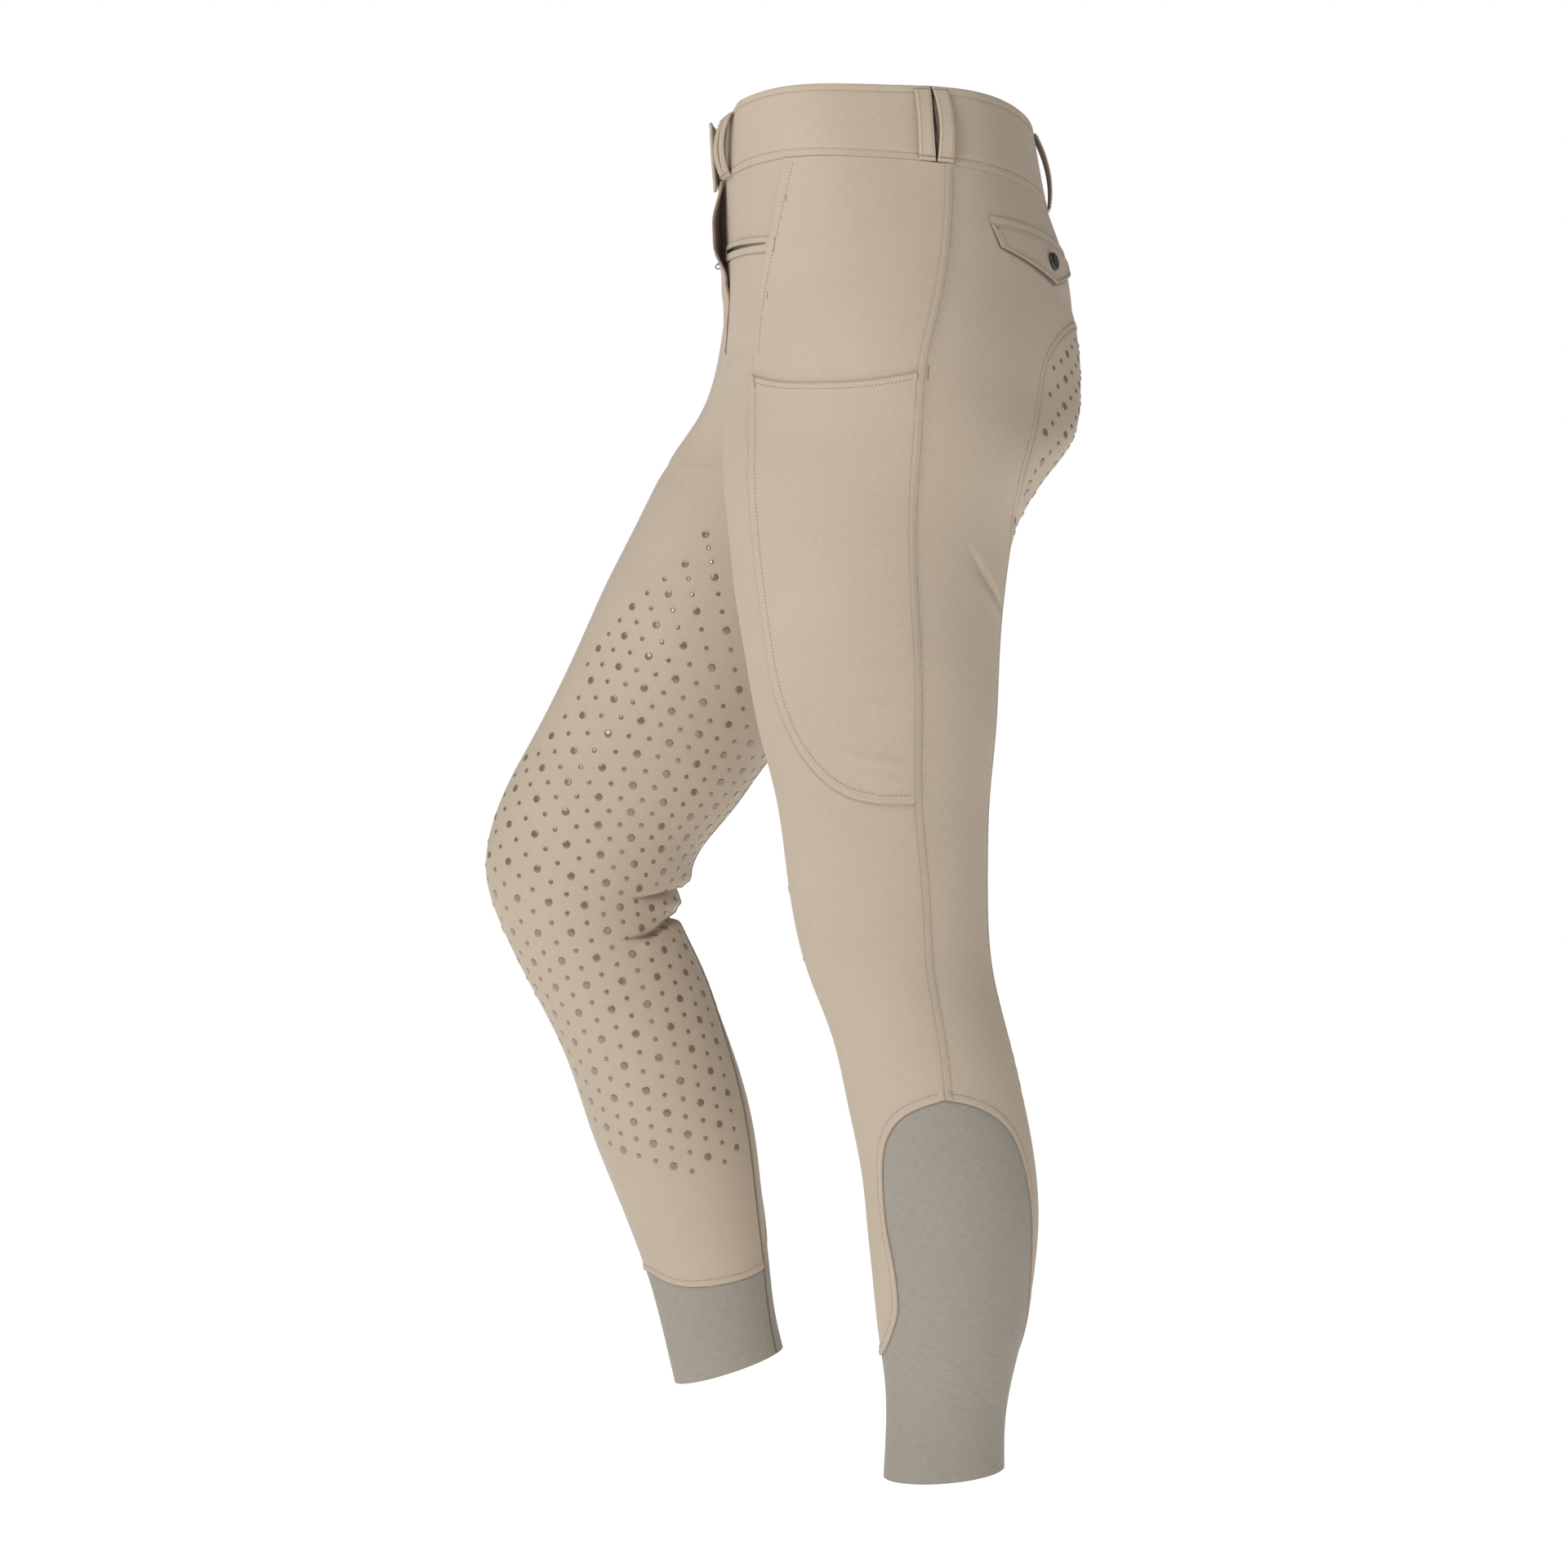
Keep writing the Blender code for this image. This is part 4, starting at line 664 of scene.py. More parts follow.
def cloth_finish(name, light, dark, slub, rib, rough, sheen):
    """A woven stretch cloth: two thread tones, soft unevenness, and painted shade where the seam attribute is low:
    beside seams and edges, in pocket slits, under the fly.
    """
    material, nodes, links, shader = new_finish(name)
    place = add_node(nodes, "ShaderNodeUVMap", uv_map="cloth")
    weave = add_node(nodes, "ShaderNodeGroup", node_tree=stretch_weave)
    set_inputs(weave, {"Slub": slub, "Rib": rib})
    links.new(place.outputs["UV"], weave.inputs["Place"])
    ramp = tone_ramp(nodes, (0.22, dark), (0.78, light))
    links.new(weave.outputs["Tone"], ramp.inputs["Fac"])
    where = nodes.new("ShaderNodeTexCoord")
    cloud = add_node(nodes, "ShaderNodeTexNoise", {"Scale": 9.0, "Detail": 3.0})
    links.new(where.outputs["Object"], cloud.inputs["Vector"])
    uneven = add_node(nodes, "ShaderNodeMapRange",
                      {"From Min": 0.3, "From Max": 0.7, "To Min": 0.955, "To Max": 1.03})
    links.new(cloud.outputs["Fac"], uneven.inputs["Value"])
    # Painted shade: the seam attribute holds how much light each place is given, and darkens the colour down to 0.12
    # of itself.
    seam = add_node(nodes, "ShaderNodeAttribute", attribute_name="seam")
    shade = add_node(nodes, "ShaderNodeMapRange",
                     {"From Min": -1.0, "From Max": 1.1, "To Min": 0.12, "To Max": 1.0})
    links.new(seam.outputs["Fac"], shade.inputs["Value"])
    both = add_node(nodes, "ShaderNodeMath", operation="MULTIPLY")
    links.new(uneven.outputs["Result"], both.inputs[0])
    links.new(shade.outputs["Result"], both.inputs[1])
    tint = add_node(nodes, "ShaderNodeMix", {"Factor": 1.0}, data_type="RGBA", blend_type="MULTIPLY")
    links.new(ramp.outputs["Color"], tint.inputs["A"])
    links.new(both.outputs[0], tint.inputs["B"])
    # Painted shade, and partly print tint: this attribute turns the colour towards the brown.
    shade_and_print_tone = add_node(nodes, "ShaderNodeAttribute", attribute_name="shade_and_print_tone")
    painted_brown = add_node(nodes, "ShaderNodeMix", {"B": (*SHADE_AND_PRINT_BROWN, 1.0)}, data_type="RGBA")
    links.new(shade_and_print_tone.outputs["Fac"], painted_brown.inputs["Factor"])
    links.new(tint.outputs["Result"], painted_brown.inputs["A"])
    links.new(painted_brown.outputs["Result"], shader.inputs["Base Color"])
    bump = add_node(nodes, "ShaderNodeBump", {"Strength": 0.55, "Distance": 0.00016})
    links.new(weave.outputs["Height"], bump.inputs["Height"])
    links.new(bump.outputs["Normal"], shader.inputs["Normal"])
    set_inputs(shader, {"Roughness": rough, "Sheen Weight": sheen, "Sheen Roughness": 0.45,
                        "Specular IOR Level": 0.22})
    return material


SAND_LIGHT = (0.530, 0.446, 0.356)
SAND_DARK = (0.436, 0.359, 0.279)
sand = cloth_finish("sand_stretch_cloth", SAND_LIGHT, SAND_DARK, 0.85, 0.0, 0.86, 0.15)


def cloth_mesh(name, points, faces, material, places=None, seam=None):
    """A cloth piece from its corners and facets, with its own length and width as a map."""
    mesh = bpy.data.meshes.new(name)
    mesh.from_pydata(np.asarray(points).tolist(), [], [tuple(f) for f in np.asarray(faces).tolist()])
    mesh.update()
    if places is not None:
        layer = mesh.uv_layers.new(name="cloth")
        layer.data.foreach_set("uv", np.asarray(places, float).ravel())
    # Painted shade for the finish: a low value darkens the colour where little light is judged to reach.
    if seam is not None:
        mark = mesh.attributes.new("seam", "FLOAT", "POINT")
        mark.data.foreach_set("value", np.asarray(seam, float))
    mesh.shade_smooth()
    mesh.set_sharp_from_angle(angle=math.radians(55))
    mesh.materials.append(material)
    piece = bpy.data.objects.new(name, mesh)
    bpy.context.collection.objects.link(piece)
    return piece


def line_points(layout, line):
    """Where a line of the layout runs in space, in steps of about half a millimetre."""
    place = np.linspace(0, len(line) - 1, 7 * len(line))
    x, down = (np.interp(place, np.arange(len(line)), part) for part in line.T)
    return form(layout["side"], x / LAYOUT_RADIUS, down)


for layout in layouts.values():
    layout["trees"] = {name: tree_of(line_points(layout, line)) for name, line in layout["lines"].items()}
    slit = [((high[0] + low[0]) / 2, (high[1] + low[1]) / 2) for high, low in zip(SLIT_TOP, SLIT_LOW)]
    layout["trees"]["slit_middle"] = tree_of(line_points(layout, spaced(slit)))
    rows = np.linspace(BAND_HEIGHT, CROTCH_DOWN, 450)
    first, last, _, _ = centre_ends(layout["side"], rows)
    for name, ends in (("centre_front", first), ("centre_back", last)):
        layout["trees"][name] = tree_of(form(layout["side"], ends, rows))


def seam_rise(layout, points, stitched, plain):
    """Seam allowances stand up to their stitching, and the cloth rolls in at its edges."""
    rise = np.zeros(len(points))
    nearest = np.full(len(points), 1.0)
    for names, wide in stitched:
        gap = np.min([reach_to(layout["trees"][name], points) for name in names], axis=0)
        nearest = np.minimum(nearest, gap)
        fold = smooth_step((wide + ALLOWANCE_PAST - gap) / ALLOWANCE_SOFT)
        rise += ALLOWANCE * fold - STITCH_TROUGH[0] * np.exp(-((gap - wide) / STITCH_TROUGH[1]) ** 2)
    for name in plain:
        nearest = np.minimum(nearest, reach_to(layout["trees"][name], points))
    rise -= EDGE_DIP[0] * np.exp(-(nearest / EDGE_DIP[1]) ** 2)
    return rise, nearest


def slit_share(spots):
    """Place along the slit, from its front end to the hip panel."""
    bearing = np.degrees(spots[:, 0] / LAYOUT_RADIUS)
    return np.interp(bearing, (SLIT_TOP[-1][1], SLIT_TOP[0][1]), (0, 1))


def slit_depth(layout, points, spots):
    """How far the front cloth falls back inside the slit of its pocket."""
    share = slit_share(spots)
    reach = SLIT_REACH * (1 - SLIT_NARROWS * share)
    near = smooth_step((reach - reach_to(layout["trees"]["slit_middle"], points)) / SLIT_SOFT)
    return SLIT_DEPTH * near * (1 - SLIT_FILLS * share)


def open_air(layout, key, points, spots, nearest):
    """How much light reaches the cloth: less beside a seam, hardly any inside a pocket's slit."""
    light = np.clip(nearest * 1000, SEAM_LIGHT, 20)
    turned = np.clip(np.abs(spots[:, 0]) / LAYOUT_RADIUS, 0.3, 1.0)
    for piece, line, level, full, felt in SHADES:
        if piece == key:
            gap = reach_to(layout["trees"][line], points) / turned
            light = np.minimum(light, level + (1.1 - level) * smooth_step((gap - full) / (felt - full))
                               + 20 * (gap > felt))
    if key == "front_and_inner_leg":
        deep = slit_depth(layout, points, spots) > SLIT_DEPTH / 15
        light[deep] = SLIT_LIGHT[0] + (SLIT_LIGHT[1] - SLIT_LIGHT[0]) * slit_share(spots[deep])
    return light


def inner_light(key, spots, light):
    """How much light reaches the inner face: little where the fly gapes."""
    if key != "fly":
        return light
    shut = smooth_step((spots[:, 1] - FLY_DARK[0]) / (FLY_DARK[1] - FLY_DARK[0]))
    return light * shut + FLY_GLOOM * (1 - shut)


def panel(layout, key, lift, thickness, material, stitched, plain):
    """One cut piece as a thin shell, set just off its neighbours."""
    side = layout["side"]
    chosen = layout["owner"][key]
    used, faces = np.unique(layout["joined"][chosen], return_inverse=True)
    faces = faces.reshape(-1, 3)
    base, normals = layout["points"][used], layout["normals"][used]
    spots = layout["spots"][used]
    rise, nearest = seam_rise(layout, base, stitched, plain)
    light = open_air(layout, key, base, spots, nearest)
    if key == "front_and_inner_leg":
        rise = rise - slit_depth(layout, base, spots)
    points = base + normals * (lift(spots) + rise)[:, None]
    edges = np.vstack([faces[:, [0, 1]], faces[:, [1, 2]], faces[:, [2, 0]]])
    code = edges[:, 0].astype(np.int64) * len(used) + edges[:, 1]
    back_code = edges[:, 1].astype(np.int64) * len(used) + edges[:, 0]
    rim = edges[~np.isin(back_code, code)]
    inward = np.zeros_like(points)
    ahead = points[rim[:, 1]] - points[rim[:, 0]]
    for corner in (0, 1):
        across = np.cross(normals[rim[:, corner]], ahead)
        across /= np.maximum(np.linalg.norm(across, axis=1), 1e-12)[:, None]
        np.add.at(inward, rim[:, corner], across)
    size = np.sum(inward * inward, axis=1)
    outer = points + inward * (EDGE_IN / np.maximum(size, 0.3))[:, None]
    wall = thickness(spots) if callable(thickness) else thickness
    inner = outer - normals * (wall + rise)[:, None]
    sign = 1 if side == "L" else -1
    for skin in (outer, inner):
        skin[:, 0] = sign * np.maximum(sign * skin[:, 0], CENTRE_REST)
    count = len(used)
    a, b = rim.T
    solid = np.vstack([faces, faces[:, ::-1] + count, np.column_stack([b, a, a + count]),
                       np.column_stack([b, a + count, b + count])])
    loops = layout["faces"][chosen]
    corner_spots = layout["spots"][loops].reshape(-1, 2)
    places = np.column_stack([layout["width"](corner_spots[:, 0] / LAYOUT_RADIUS, corner_spots[:, 1]),
                              corner_spots[:, 1]])
    rim_spots = spots[solid[2 * len(faces):].ravel() % count]
    rim_places = np.column_stack([layout["width"](rim_spots[:, 0] / LAYOUT_RADIUS, rim_spots[:, 1]),
                                  rim_spots[:, 1]])
    mirrored = places.reshape(-1, 3, 2)[:, ::-1].reshape(-1, 2)
    name = f"{key}_cloth_{side}" if key != "fly" else "fly_cloth"
    piece = cloth_mesh(name, np.vstack([outer, inner]), solid, material,
                       np.vstack([places, mirrored, rim_places]),
                       np.concatenate([light, inner_light(key, spots, light)]))
    # Painted shade: the whole inner face of the fly is given the brown in full.
    if key in ("fly", "front_and_inner_leg"):
        bearing = np.abs(np.degrees(spots[:, 0] / LAYOUT_RADIUS))
        # Partly print tint, partly painted shade: behind its inner line the leg turns a little towards the brown,
        # fading out below the crotch.
        behind = smooth_step((bearing - PRINT_AND_SHADE_TURN[0]) / PRINT_AND_SHADE_TURN[1])
        behind *= (spots[:, 0] > 0) * (1 - smooth_step((spots[:, 1] - PRINT_AND_SHADE_DOWN[0]) / PRINT_AND_SHADE_DOWN[1]))
        shade_and_print = (np.zeros(count), np.ones(count)) if key == "fly" else (PRINT_AND_SHADE_TONE * behind, np.zeros(count))
        mark = piece.data.attributes.new("shade_and_print_tone", "FLOAT", "POINT")
        mark.data.foreach_set("value", np.concatenate(shade_and_print))
    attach(piece, "root")
    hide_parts(f"{key}_{side}" if key != "fly" else "fly")
    return piece


def even(height):
    """The same height all over."""
    return lambda spots: np.full(len(spots), height)


def back_lift(layout):
    """The back rises along the side seam to meet the pieces that lie on the hip and the thigh."""
    tree = tree_of(layout["lines"]["side_seam"])

    def lift(spots):
        gap = reach_to(tree, spots)
        beside_seam = 1 - smooth_step(gap / SEAM_RAMP)
        above_foot = smooth_step((PANEL_EDGE[-1][0] - spots[:, 1]) / SEAM_RAMP)
        return (GAP + PATCH) * beside_seam * above_foot + SEAM_STAND * (1 - smooth_step(gap / 0.0045))
    return lift


for layout in layouts.values():
    panel(layout, "front_and_inner_leg", even(0.0), CLOTH, sand,
          ((("calf_front",), 0.0050), (("cuff_top_front", "cuff_top_back"), 0.0045)),
          ("wing", "cuff_back", "centre_front", "centre_back"))
    panel(layout, "back", back_lift(layout), CLOTH, sand,
          ((("side_seam",), 0.0050), (("wing",), 0.0045), (("calf_back",), 0.0050)), ("centre_back",))


# ==================================================================== calf panels and cuffs
# The lower leg is finished in a thin, finely ribbed elastic jersey in taupe, so that a boot goes
# over it. The outer panel has an arched top and the inner cuff is straight, both with a raw hem.
TAUPE_LIGHT = (0.362, 0.331, 0.284)
TAUPE_DARK = (0.274, 0.247, 0.206)
taupe = cloth_finish("taupe_elastic_jersey", TAUPE_LIGHT, TAUPE_DARK, 1.15, 0.10, 0.8, 0.12)

for layout in layouts.values():
    panel(layout, "calf_panel", even(-0.0002), CLOTH, taupe, (),
          ("calf_front", "calf_back", "cuff_back", "cuff_front"))
    panel(layout, "inner_cuff", even(-0.0002), CLOTH, taupe, (),
          ("cuff_top_front", "cuff_top_back", "cuff_back", "cuff_front"))


# ==================================================================== thigh pocket and hip panel
# A flat patch pocket lies over the outer thigh. Its mouth is a straight folded edge that laps over
# the hip panel above it, and one line of stitching runs just inside the front edge of both.
POCKET_EDGE_STITCH = 0.0060
MOUTH_STITCH = 0.0040


def pocket_lift(spots):
    """The pocket's mouth lies over the panel above it and drops to the front below."""
    foot = POCKET_MOUTH[2][0] + POCKET_OVERLAP
    share = smooth_step((spots[:, 1] - foot) / 0.021)
    return GAP + PATCH + (PATCH + GAP) * (1 - share)


for layout in layouts.values():
    panel(layout, "side_panel", even(GAP + PATCH), PATCH, sand, ((("panel_edge",), POCKET_EDGE_STITCH),), ())
    panel(layout, "phone_pocket", pocket_lift, PATCH, sand,
          ((("panel_edge", "panel_foot"), POCKET_EDGE_STITCH), (("mouth",), MOUTH_STITCH)), ())


# ==================================================================== slit pockets and back flaps
# Each slanted slit has two narrow lips, and each back pocket has a welt and a pointed flap that
# stands off a little towards its tip, stitched along its edge and held by one snap.
FLAP_LIFT = 0.0020
FLAP_EDGE_STITCH = 0.0022


def flap_lift(spots):
    """The flap stands off a little more towards its tip."""
    share = np.clip((spots[:, 1] - FLAP_TOP[0][0]) / (FLAP_EDGE[2][0] - FLAP_TOP[0][0]), 0, 1)
    return GAP + PATCH + FLAP_LIFT * share


for layout in layouts.values():
    panel(layout, "front_pocket_welt", even(GAP + PATCH), PATCH, sand, (), ("welt", "slit"))
    panel(layout, "back_pocket_welt", even(GAP + PATCH), PATCH, sand, (), ("back_welt",))
    panel(layout, "back_pocket_flap", flap_lift, PATCH, sand, ((("flap_edge",), FLAP_EDGE_STITCH),), ("flap_top",))


# ==================================================================== fly and zip
# The fly is a folded facing cut onto the right front. Below the band its free edge stands off and
# shows the dark hollow and the woven tape of the zip on the left front's edge.
FLY_LIFT = 0.0033
FLY_LOW_LIFT = 0.0019
FLY_SHUT = (0.117, 0.131)
FLY_BULGE = 0.0080
FLY_MOUTH = (0.048, 0.078, 0.092, 0.114)
FLY_RISE_TURNS = 3
FLY_REST = 0.00005
FLY_PRESSED = 0.00045
FLY_PRESS_REACH = 0.0060
TAPE = 0.0008
TAPE_SIDES = (-82.6, -86.2)
TAPE_ENDS = (0.052, 0.114)


def fly_lift(spots):
    """The fly rises from its root, and its free edge gapes below the band."""
    root = (np.degrees(spots[:, 0] / LAYOUT_RADIUS) + 90) / FLY_SET_BACK
    reach = np.clip((root - 1) / FLY_RISE_TURNS, 0, 1)
    top, full, narrowing, low = FLY_MOUTH
    down = spots[:, 1]
    mouth = smooth_step((down - top) / (full - top)) * smooth_step((low - down) / (low - narrowing))
    shut = smooth_step((down - FLY_SHUT[0]) / (FLY_SHUT[1] - FLY_SHUT[0]))
    lift = FLY_LIFT + (FLY_LOW_LIFT - FLY_LIFT) * shut
    free = np.radians(curve_through(FLY_EDGE)(down)[:, 0]) * LAYOUT_RADIUS - spots[:, 0]
    lift = lift - (FLY_LOW_LIFT - FLY_PRESSED) * shut * (1 - smooth_step(free / FLY_PRESS_REACH))
    return lift * np.clip(root, 0, 1) + FLY_BULGE * reach * mouth


def fly_wall(spots):
    """Thickness of the folded fly; where it is shut its underside rests on the front."""
    root = np.clip((np.degrees(spots[:, 0] / LAYOUT_RADIUS) + 90) / FLY_SET_BACK, 0, 1)
    shut = smooth_step((spots[:, 1] - FLY_SHUT[0]) / (FLY_SHUT[1] - FLY_SHUT[0]))
    return PATCH + GAP + shut * root * (fly_lift(spots) - PATCH - GAP - FLY_REST)


# Its inner face is painted in shade: brown all over, darker still where the fly gapes.
panel(layouts["L"], "fly", fly_lift, fly_wall, sand, ((("fly_edge",), 0.0030),), ())


def strip_faces(rows, columns):
    """Faces of a closed strip: an outer grid of points, an inner one after it, and its edge."""
    count = rows * columns
    index = np.arange(count).reshape(rows, columns)
    a, b, c, d = (part.ravel() for part in (index[:-1, :-1], index[:-1, 1:], index[1:, 1:], index[1:, :-1]))
    skin = np.column_stack([a, b, c, d])
    loop = np.concatenate([index[0], index[1:, -1], index[-1, -2::-1], index[-2:0:-1, 0]])
    ahead = np.roll(loop, -1)
    edge = np.column_stack([ahead, loop, loop + count, ahead + count])
    return np.vstack([skin, skin[:, ::-1] + count, edge])


def strip_shell(name, outer, inner, places, material, seam=None):
    """A closed strip of cloth between an outer and an inner grid of points."""
    rows, columns = outer.shape[:2]
    count = rows * columns
    faces = strip_faces(rows, columns)
    flat_places = places.reshape(-1, 2)
    points = np.vstack([outer.reshape(-1, 3), inner.reshape(-1, 3)])
    return cloth_mesh(name, points, faces, material, flat_places[faces.ravel() % count],
                      None if seam is None else np.tile(seam.ravel(), 2))


ZIP_ROSE = (0.36, 0.215, 0.165)
zip_weave = cloth_finish("zip_tape_weave", ZIP_ROSE, (0.27, 0.15, 0.115), 0.8, 0.2, 0.9, 0.1)
down = np.linspace(*TAPE_ENDS, 60)
skins = []
for lift in (GAP + TAPE, GAP):
    columns = []
    for bearing in np.linspace(*TAPE_SIDES, 6):
        angle = np.full(len(down), math.radians(bearing))
        columns.append(form("L", angle, down) + outward("L", angle, down) * lift)
    skins.append(np.stack(columns, axis=1))
tape_places = np.stack(np.meshgrid(np.linspace(0, 0.008, 6), down), axis=2)
tape = strip_shell("fly_zip_tape_cloth", *skins, tape_places, zip_weave, np.full((60, 6), 10.0))
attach(tape, "root")
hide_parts("fly_zip_tape")


# ==================================================================== waistband
# One straight band of the same cloth folded over a soft interlining. It is stitched all round
# near both edges, and its right end laps over the left one at the front.
BAND = 0.0026
BAND_PROUD = 0.0008
BAND_START = 4.0
BAND_STEP = 1.2
BAND_DIP = 0.0048         # how much lower the top edge lies across the front
DIP_TURNS = (25.0, 32.0)
LAP_START = 357.0
LAP_UP = 363.5
LAP_END = 372.0
LAP_RISE = 0.0046
LAP_GAPE = 0.0040
LAP_DROOP = 0.0062        # how far the free end hangs below the band
DROOP_TURNS = (367.5, 371.5)
BAND_STITCH = (0.0050, 0.0445)
EDGE_ROLL = 0.0012
BAND_TROUGH = (0.0004, 0.0008)    # depth and reach of the dip under the stitching
BAND_BELLY = 0.0003
# Turns of the hip loops, behind which shade is painted on the band.
LOOP_SLOTS = (107.0, 253.0)
LOOP_LEAN = 2.0


def band_place(turn, down, out):
    """Points on the band: turn in degrees from the centre front over the wearer's left."""
    turn = np.asarray(turn, float)
    down = np.broadcast_to(np.asarray(down, float), turn.shape)
    out = np.broadcast_to(np.asarray(out, float), turn.shape)
    turned = np.mod(turn, 360)
    bearing = np.radians(np.where(turned <= 180, turned - 90, 270 - turned))
    mirror = np.where(turned <= 180, 1, -1)
    points = smooth_form("L", bearing, down)
    along = smooth_form("L", bearing, down + NUDGE) - points
    points[:, 0] *= mirror
    along[:, 0] *= mirror
    around = np.radians(turn)
    half_width, half_depth = WIDTHS[0][2], CENTRE_BACK[0][1]
    away = np.column_stack([np.sin(around) / half_width, -np.cos(around) / half_depth, np.zeros(len(turn))])
    along /= np.linalg.norm(along, axis=1)[:, None]
    away -= np.sum(away * along, axis=1)[:, None] * along
    away /= np.linalg.norm(away, axis=1)[:, None]
    return points + away * out[:, None]


def band_lift(turns):
    """How far the band's outer face stands out; it rises to lap over its own start."""
    lap = smooth_step((turns - LAP_START) / (LAP_UP - LAP_START))
    end = smooth_step((turns - LAP_UP) / (LAP_END - LAP_UP))
    return BAND_PROUD + (LAP_RISE - BAND_PROUD) * lap + LAP_GAPE * end


def band_dip(turns):
    """How far the band's top edge lies lower across the front."""
    turned = np.mod(turns, 360)
    apart = np.minimum(turned, 360 - turned)
    return BAND_DIP * (1 - smooth_step((apart - DIP_TURNS[0]) / (DIP_TURNS[1] - DIP_TURNS[0])))


def band_down(turns, down):
    """Distance down of a row of the band, let in below the dip and down with the hanging end."""
    droop = LAP_DROOP * smooth_step((turns - DROOP_TURNS[0]) / (DROOP_TURNS[1] - DROOP_TURNS[0]))
    share = down / BAND_HEIGHT
    return down + band_dip(turns) * (1 - share) + droop * share


def rolled(reach, radius):
    """How far a folded edge turns in, by distance from the edge."""
    share = np.clip(1 - reach / radius, 0, 1)
    return radius * (1 - np.sqrt(1 - share * share))


turns = np.concatenate([[BAND_START, BAND_START + 0.25, BAND_START + 0.6],
                        np.arange(BAND_START + 1.2, LAP_END - 1.0, BAND_STEP),
                        [LAP_END - 0.6, LAP_END - 0.25, LAP_END]])
heights = np.array([0.0, 0.2, 0.6, 1.2, 2.2, 3.6, 4.4, 5.0, 5.6, 6.4, 8.5, 12, 17, 22, 27, 32, 37, 41, 43.1,
                    43.9, 44.5, 45.1, 45.9, 47.2, 48.4, 49.2, 49.8, 50.1]) / 1000
around, down = np.meshgrid(turns, heights, indexing="ij")
edge = np.minimum(np.minimum(down, heights[-1] - down), (around - BAND_START) / 57.3 * 0.12)
edge = np.minimum(edge, (LAP_END - around) / 57.3 * 0.12)
trough = sum(np.exp(-((down - row) / BAND_TROUGH[1]) ** 2) for row in BAND_STITCH)
belly = np.sin(np.clip((down - BAND_STITCH[0]) / (BAND_STITCH[1] - BAND_STITCH[0]), 0, 1) * math.pi)
turn_in = rolled(edge, EDGE_ROLL)
outer_lift = band_lift(around) - turn_in - BAND_TROUGH[0] * trough + BAND_BELLY * belly
inner_lift = band_lift(around) - BAND + turn_in
set_down = band_down(around, down)
skins = [band_place(around.ravel(), set_down.ravel(), lift.ravel()).reshape(*around.shape, 3)
         for lift in (outer_lift, inner_lift)]
travel = np.concatenate([[0], np.cumsum(np.linalg.norm(np.diff(skins[0][:, 14], axis=0), axis=1))])
band_places = np.stack([np.broadcast_to(travel[:, None], around.shape), down], axis=2)
# Painted shade on the band: darker along its top and bottom edges, and in the slot behind each hip loop, which
# stands off the band and shades it.
band_painted_shade = 1000 * np.minimum(down, heights[-1] - down) + 0.25
for slot in LOOP_SLOTS:
    behind = smooth_step(1.6 - np.abs(around - slot + LOOP_LEAN * down / BAND_HEIGHT) / 2.0)
    band_painted_shade = np.minimum(band_painted_shade, 20) * (1 - behind) - 0.9 * behind
waistband = strip_shell("waistband_cloth", *skins, band_places, sand, band_painted_shade)
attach(waistband, "root")
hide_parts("waistband")


# ==================================================================== belt loops
# Five loops of folded cloth: at each side of the front and over each hip a double loop of two
# narrow straps side by side, and one wide strap at the back. Each is bartacked at both ends.
LOOPS = (
    ("belt_loop_front", (18.4, 22.8, 23.3, 27.7), -5.7),
    ("belt_loop_side", (101.0, 106.6, 107.1, 112.7), -2.0),
)
LOOP_BACK = ("belt_loop_back", (176.0, 184.0), 0.0)
LOOP_PART = 1.5
LOOP_TOP = 0.0015
LOOP_FOOT = 0.0492
LOOP_RISE = 0.0060
LOOP_ROUND = 0.75
LOOP_WALL = 0.0016
LOOP_STRAP = 0.010           # width of one strap
LOOP_ROLL = (0.0008, 0.0007)  # roll of its edges outside and inside


def strap_lines(turns, lean, strap, share):
    """Turns of both edges of one strap of a loop on its way down the band."""
    bow = np.sin(math.pi * share)
    apart = (0, -LOOP_PART / 2, LOOP_PART / 2, 0) if len(turns) == 4 else (0, 0)
    return [turns[edge] + lean * share + apart[edge] * bow for edge in (strap, strap + 1)]


def belt_loop(name, turns, lean):
    """The straps of one loop, each a rounded strip held at the band's edges and bowed off it."""
    share = np.linspace(0, 1, 45)
    top = LOOP_TOP + band_dip(turns[0])
    down = top + (LOOP_FOOT - top) * share
    rise = BAND_PROUD + GAP + LOOP_RISE * np.sin(math.pi * share) ** LOOP_ROUND
    points, faces, places = [], [], []
    across = np.array([0, 0.03, 0.1, 0.22, 0.36, 0.5, 0.64, 0.78, 0.9, 0.97, 1])
    for strap in range(0, len(turns), 2):
        low, high = strap_lines(turns, lean, strap, share)
        for face_side in (1, 0):
            columns = []
            for part in across[::-1]:
                line = low + (high - low) * part
                reach = np.minimum(part, 1 - part) * LOOP_STRAP
                lift = rise + (LOOP_WALL - rolled(reach, LOOP_ROLL[0]) if face_side else rolled(reach, LOOP_ROLL[1]))
                columns.append(band_place(line, down, lift))
            points.append(np.stack(columns, axis=1).reshape(-1, 3))
        faces.append(strip_faces(len(share), len(across)) + len(share) * len(across) * strap)
        spread = np.stack(np.meshgrid(across * LOOP_STRAP, down), axis=2).reshape(-1, 2)
        places.append(np.vstack([spread, spread]))
    faces = np.vstack(faces)
    places = np.vstack(places)
    piece = cloth_mesh(name + "_cloth", np.vstack(points), faces, sand, places[faces.ravel()],
                       np.full(len(places), 10.0))
    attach(piece, "root")
    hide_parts(name)
    return piece


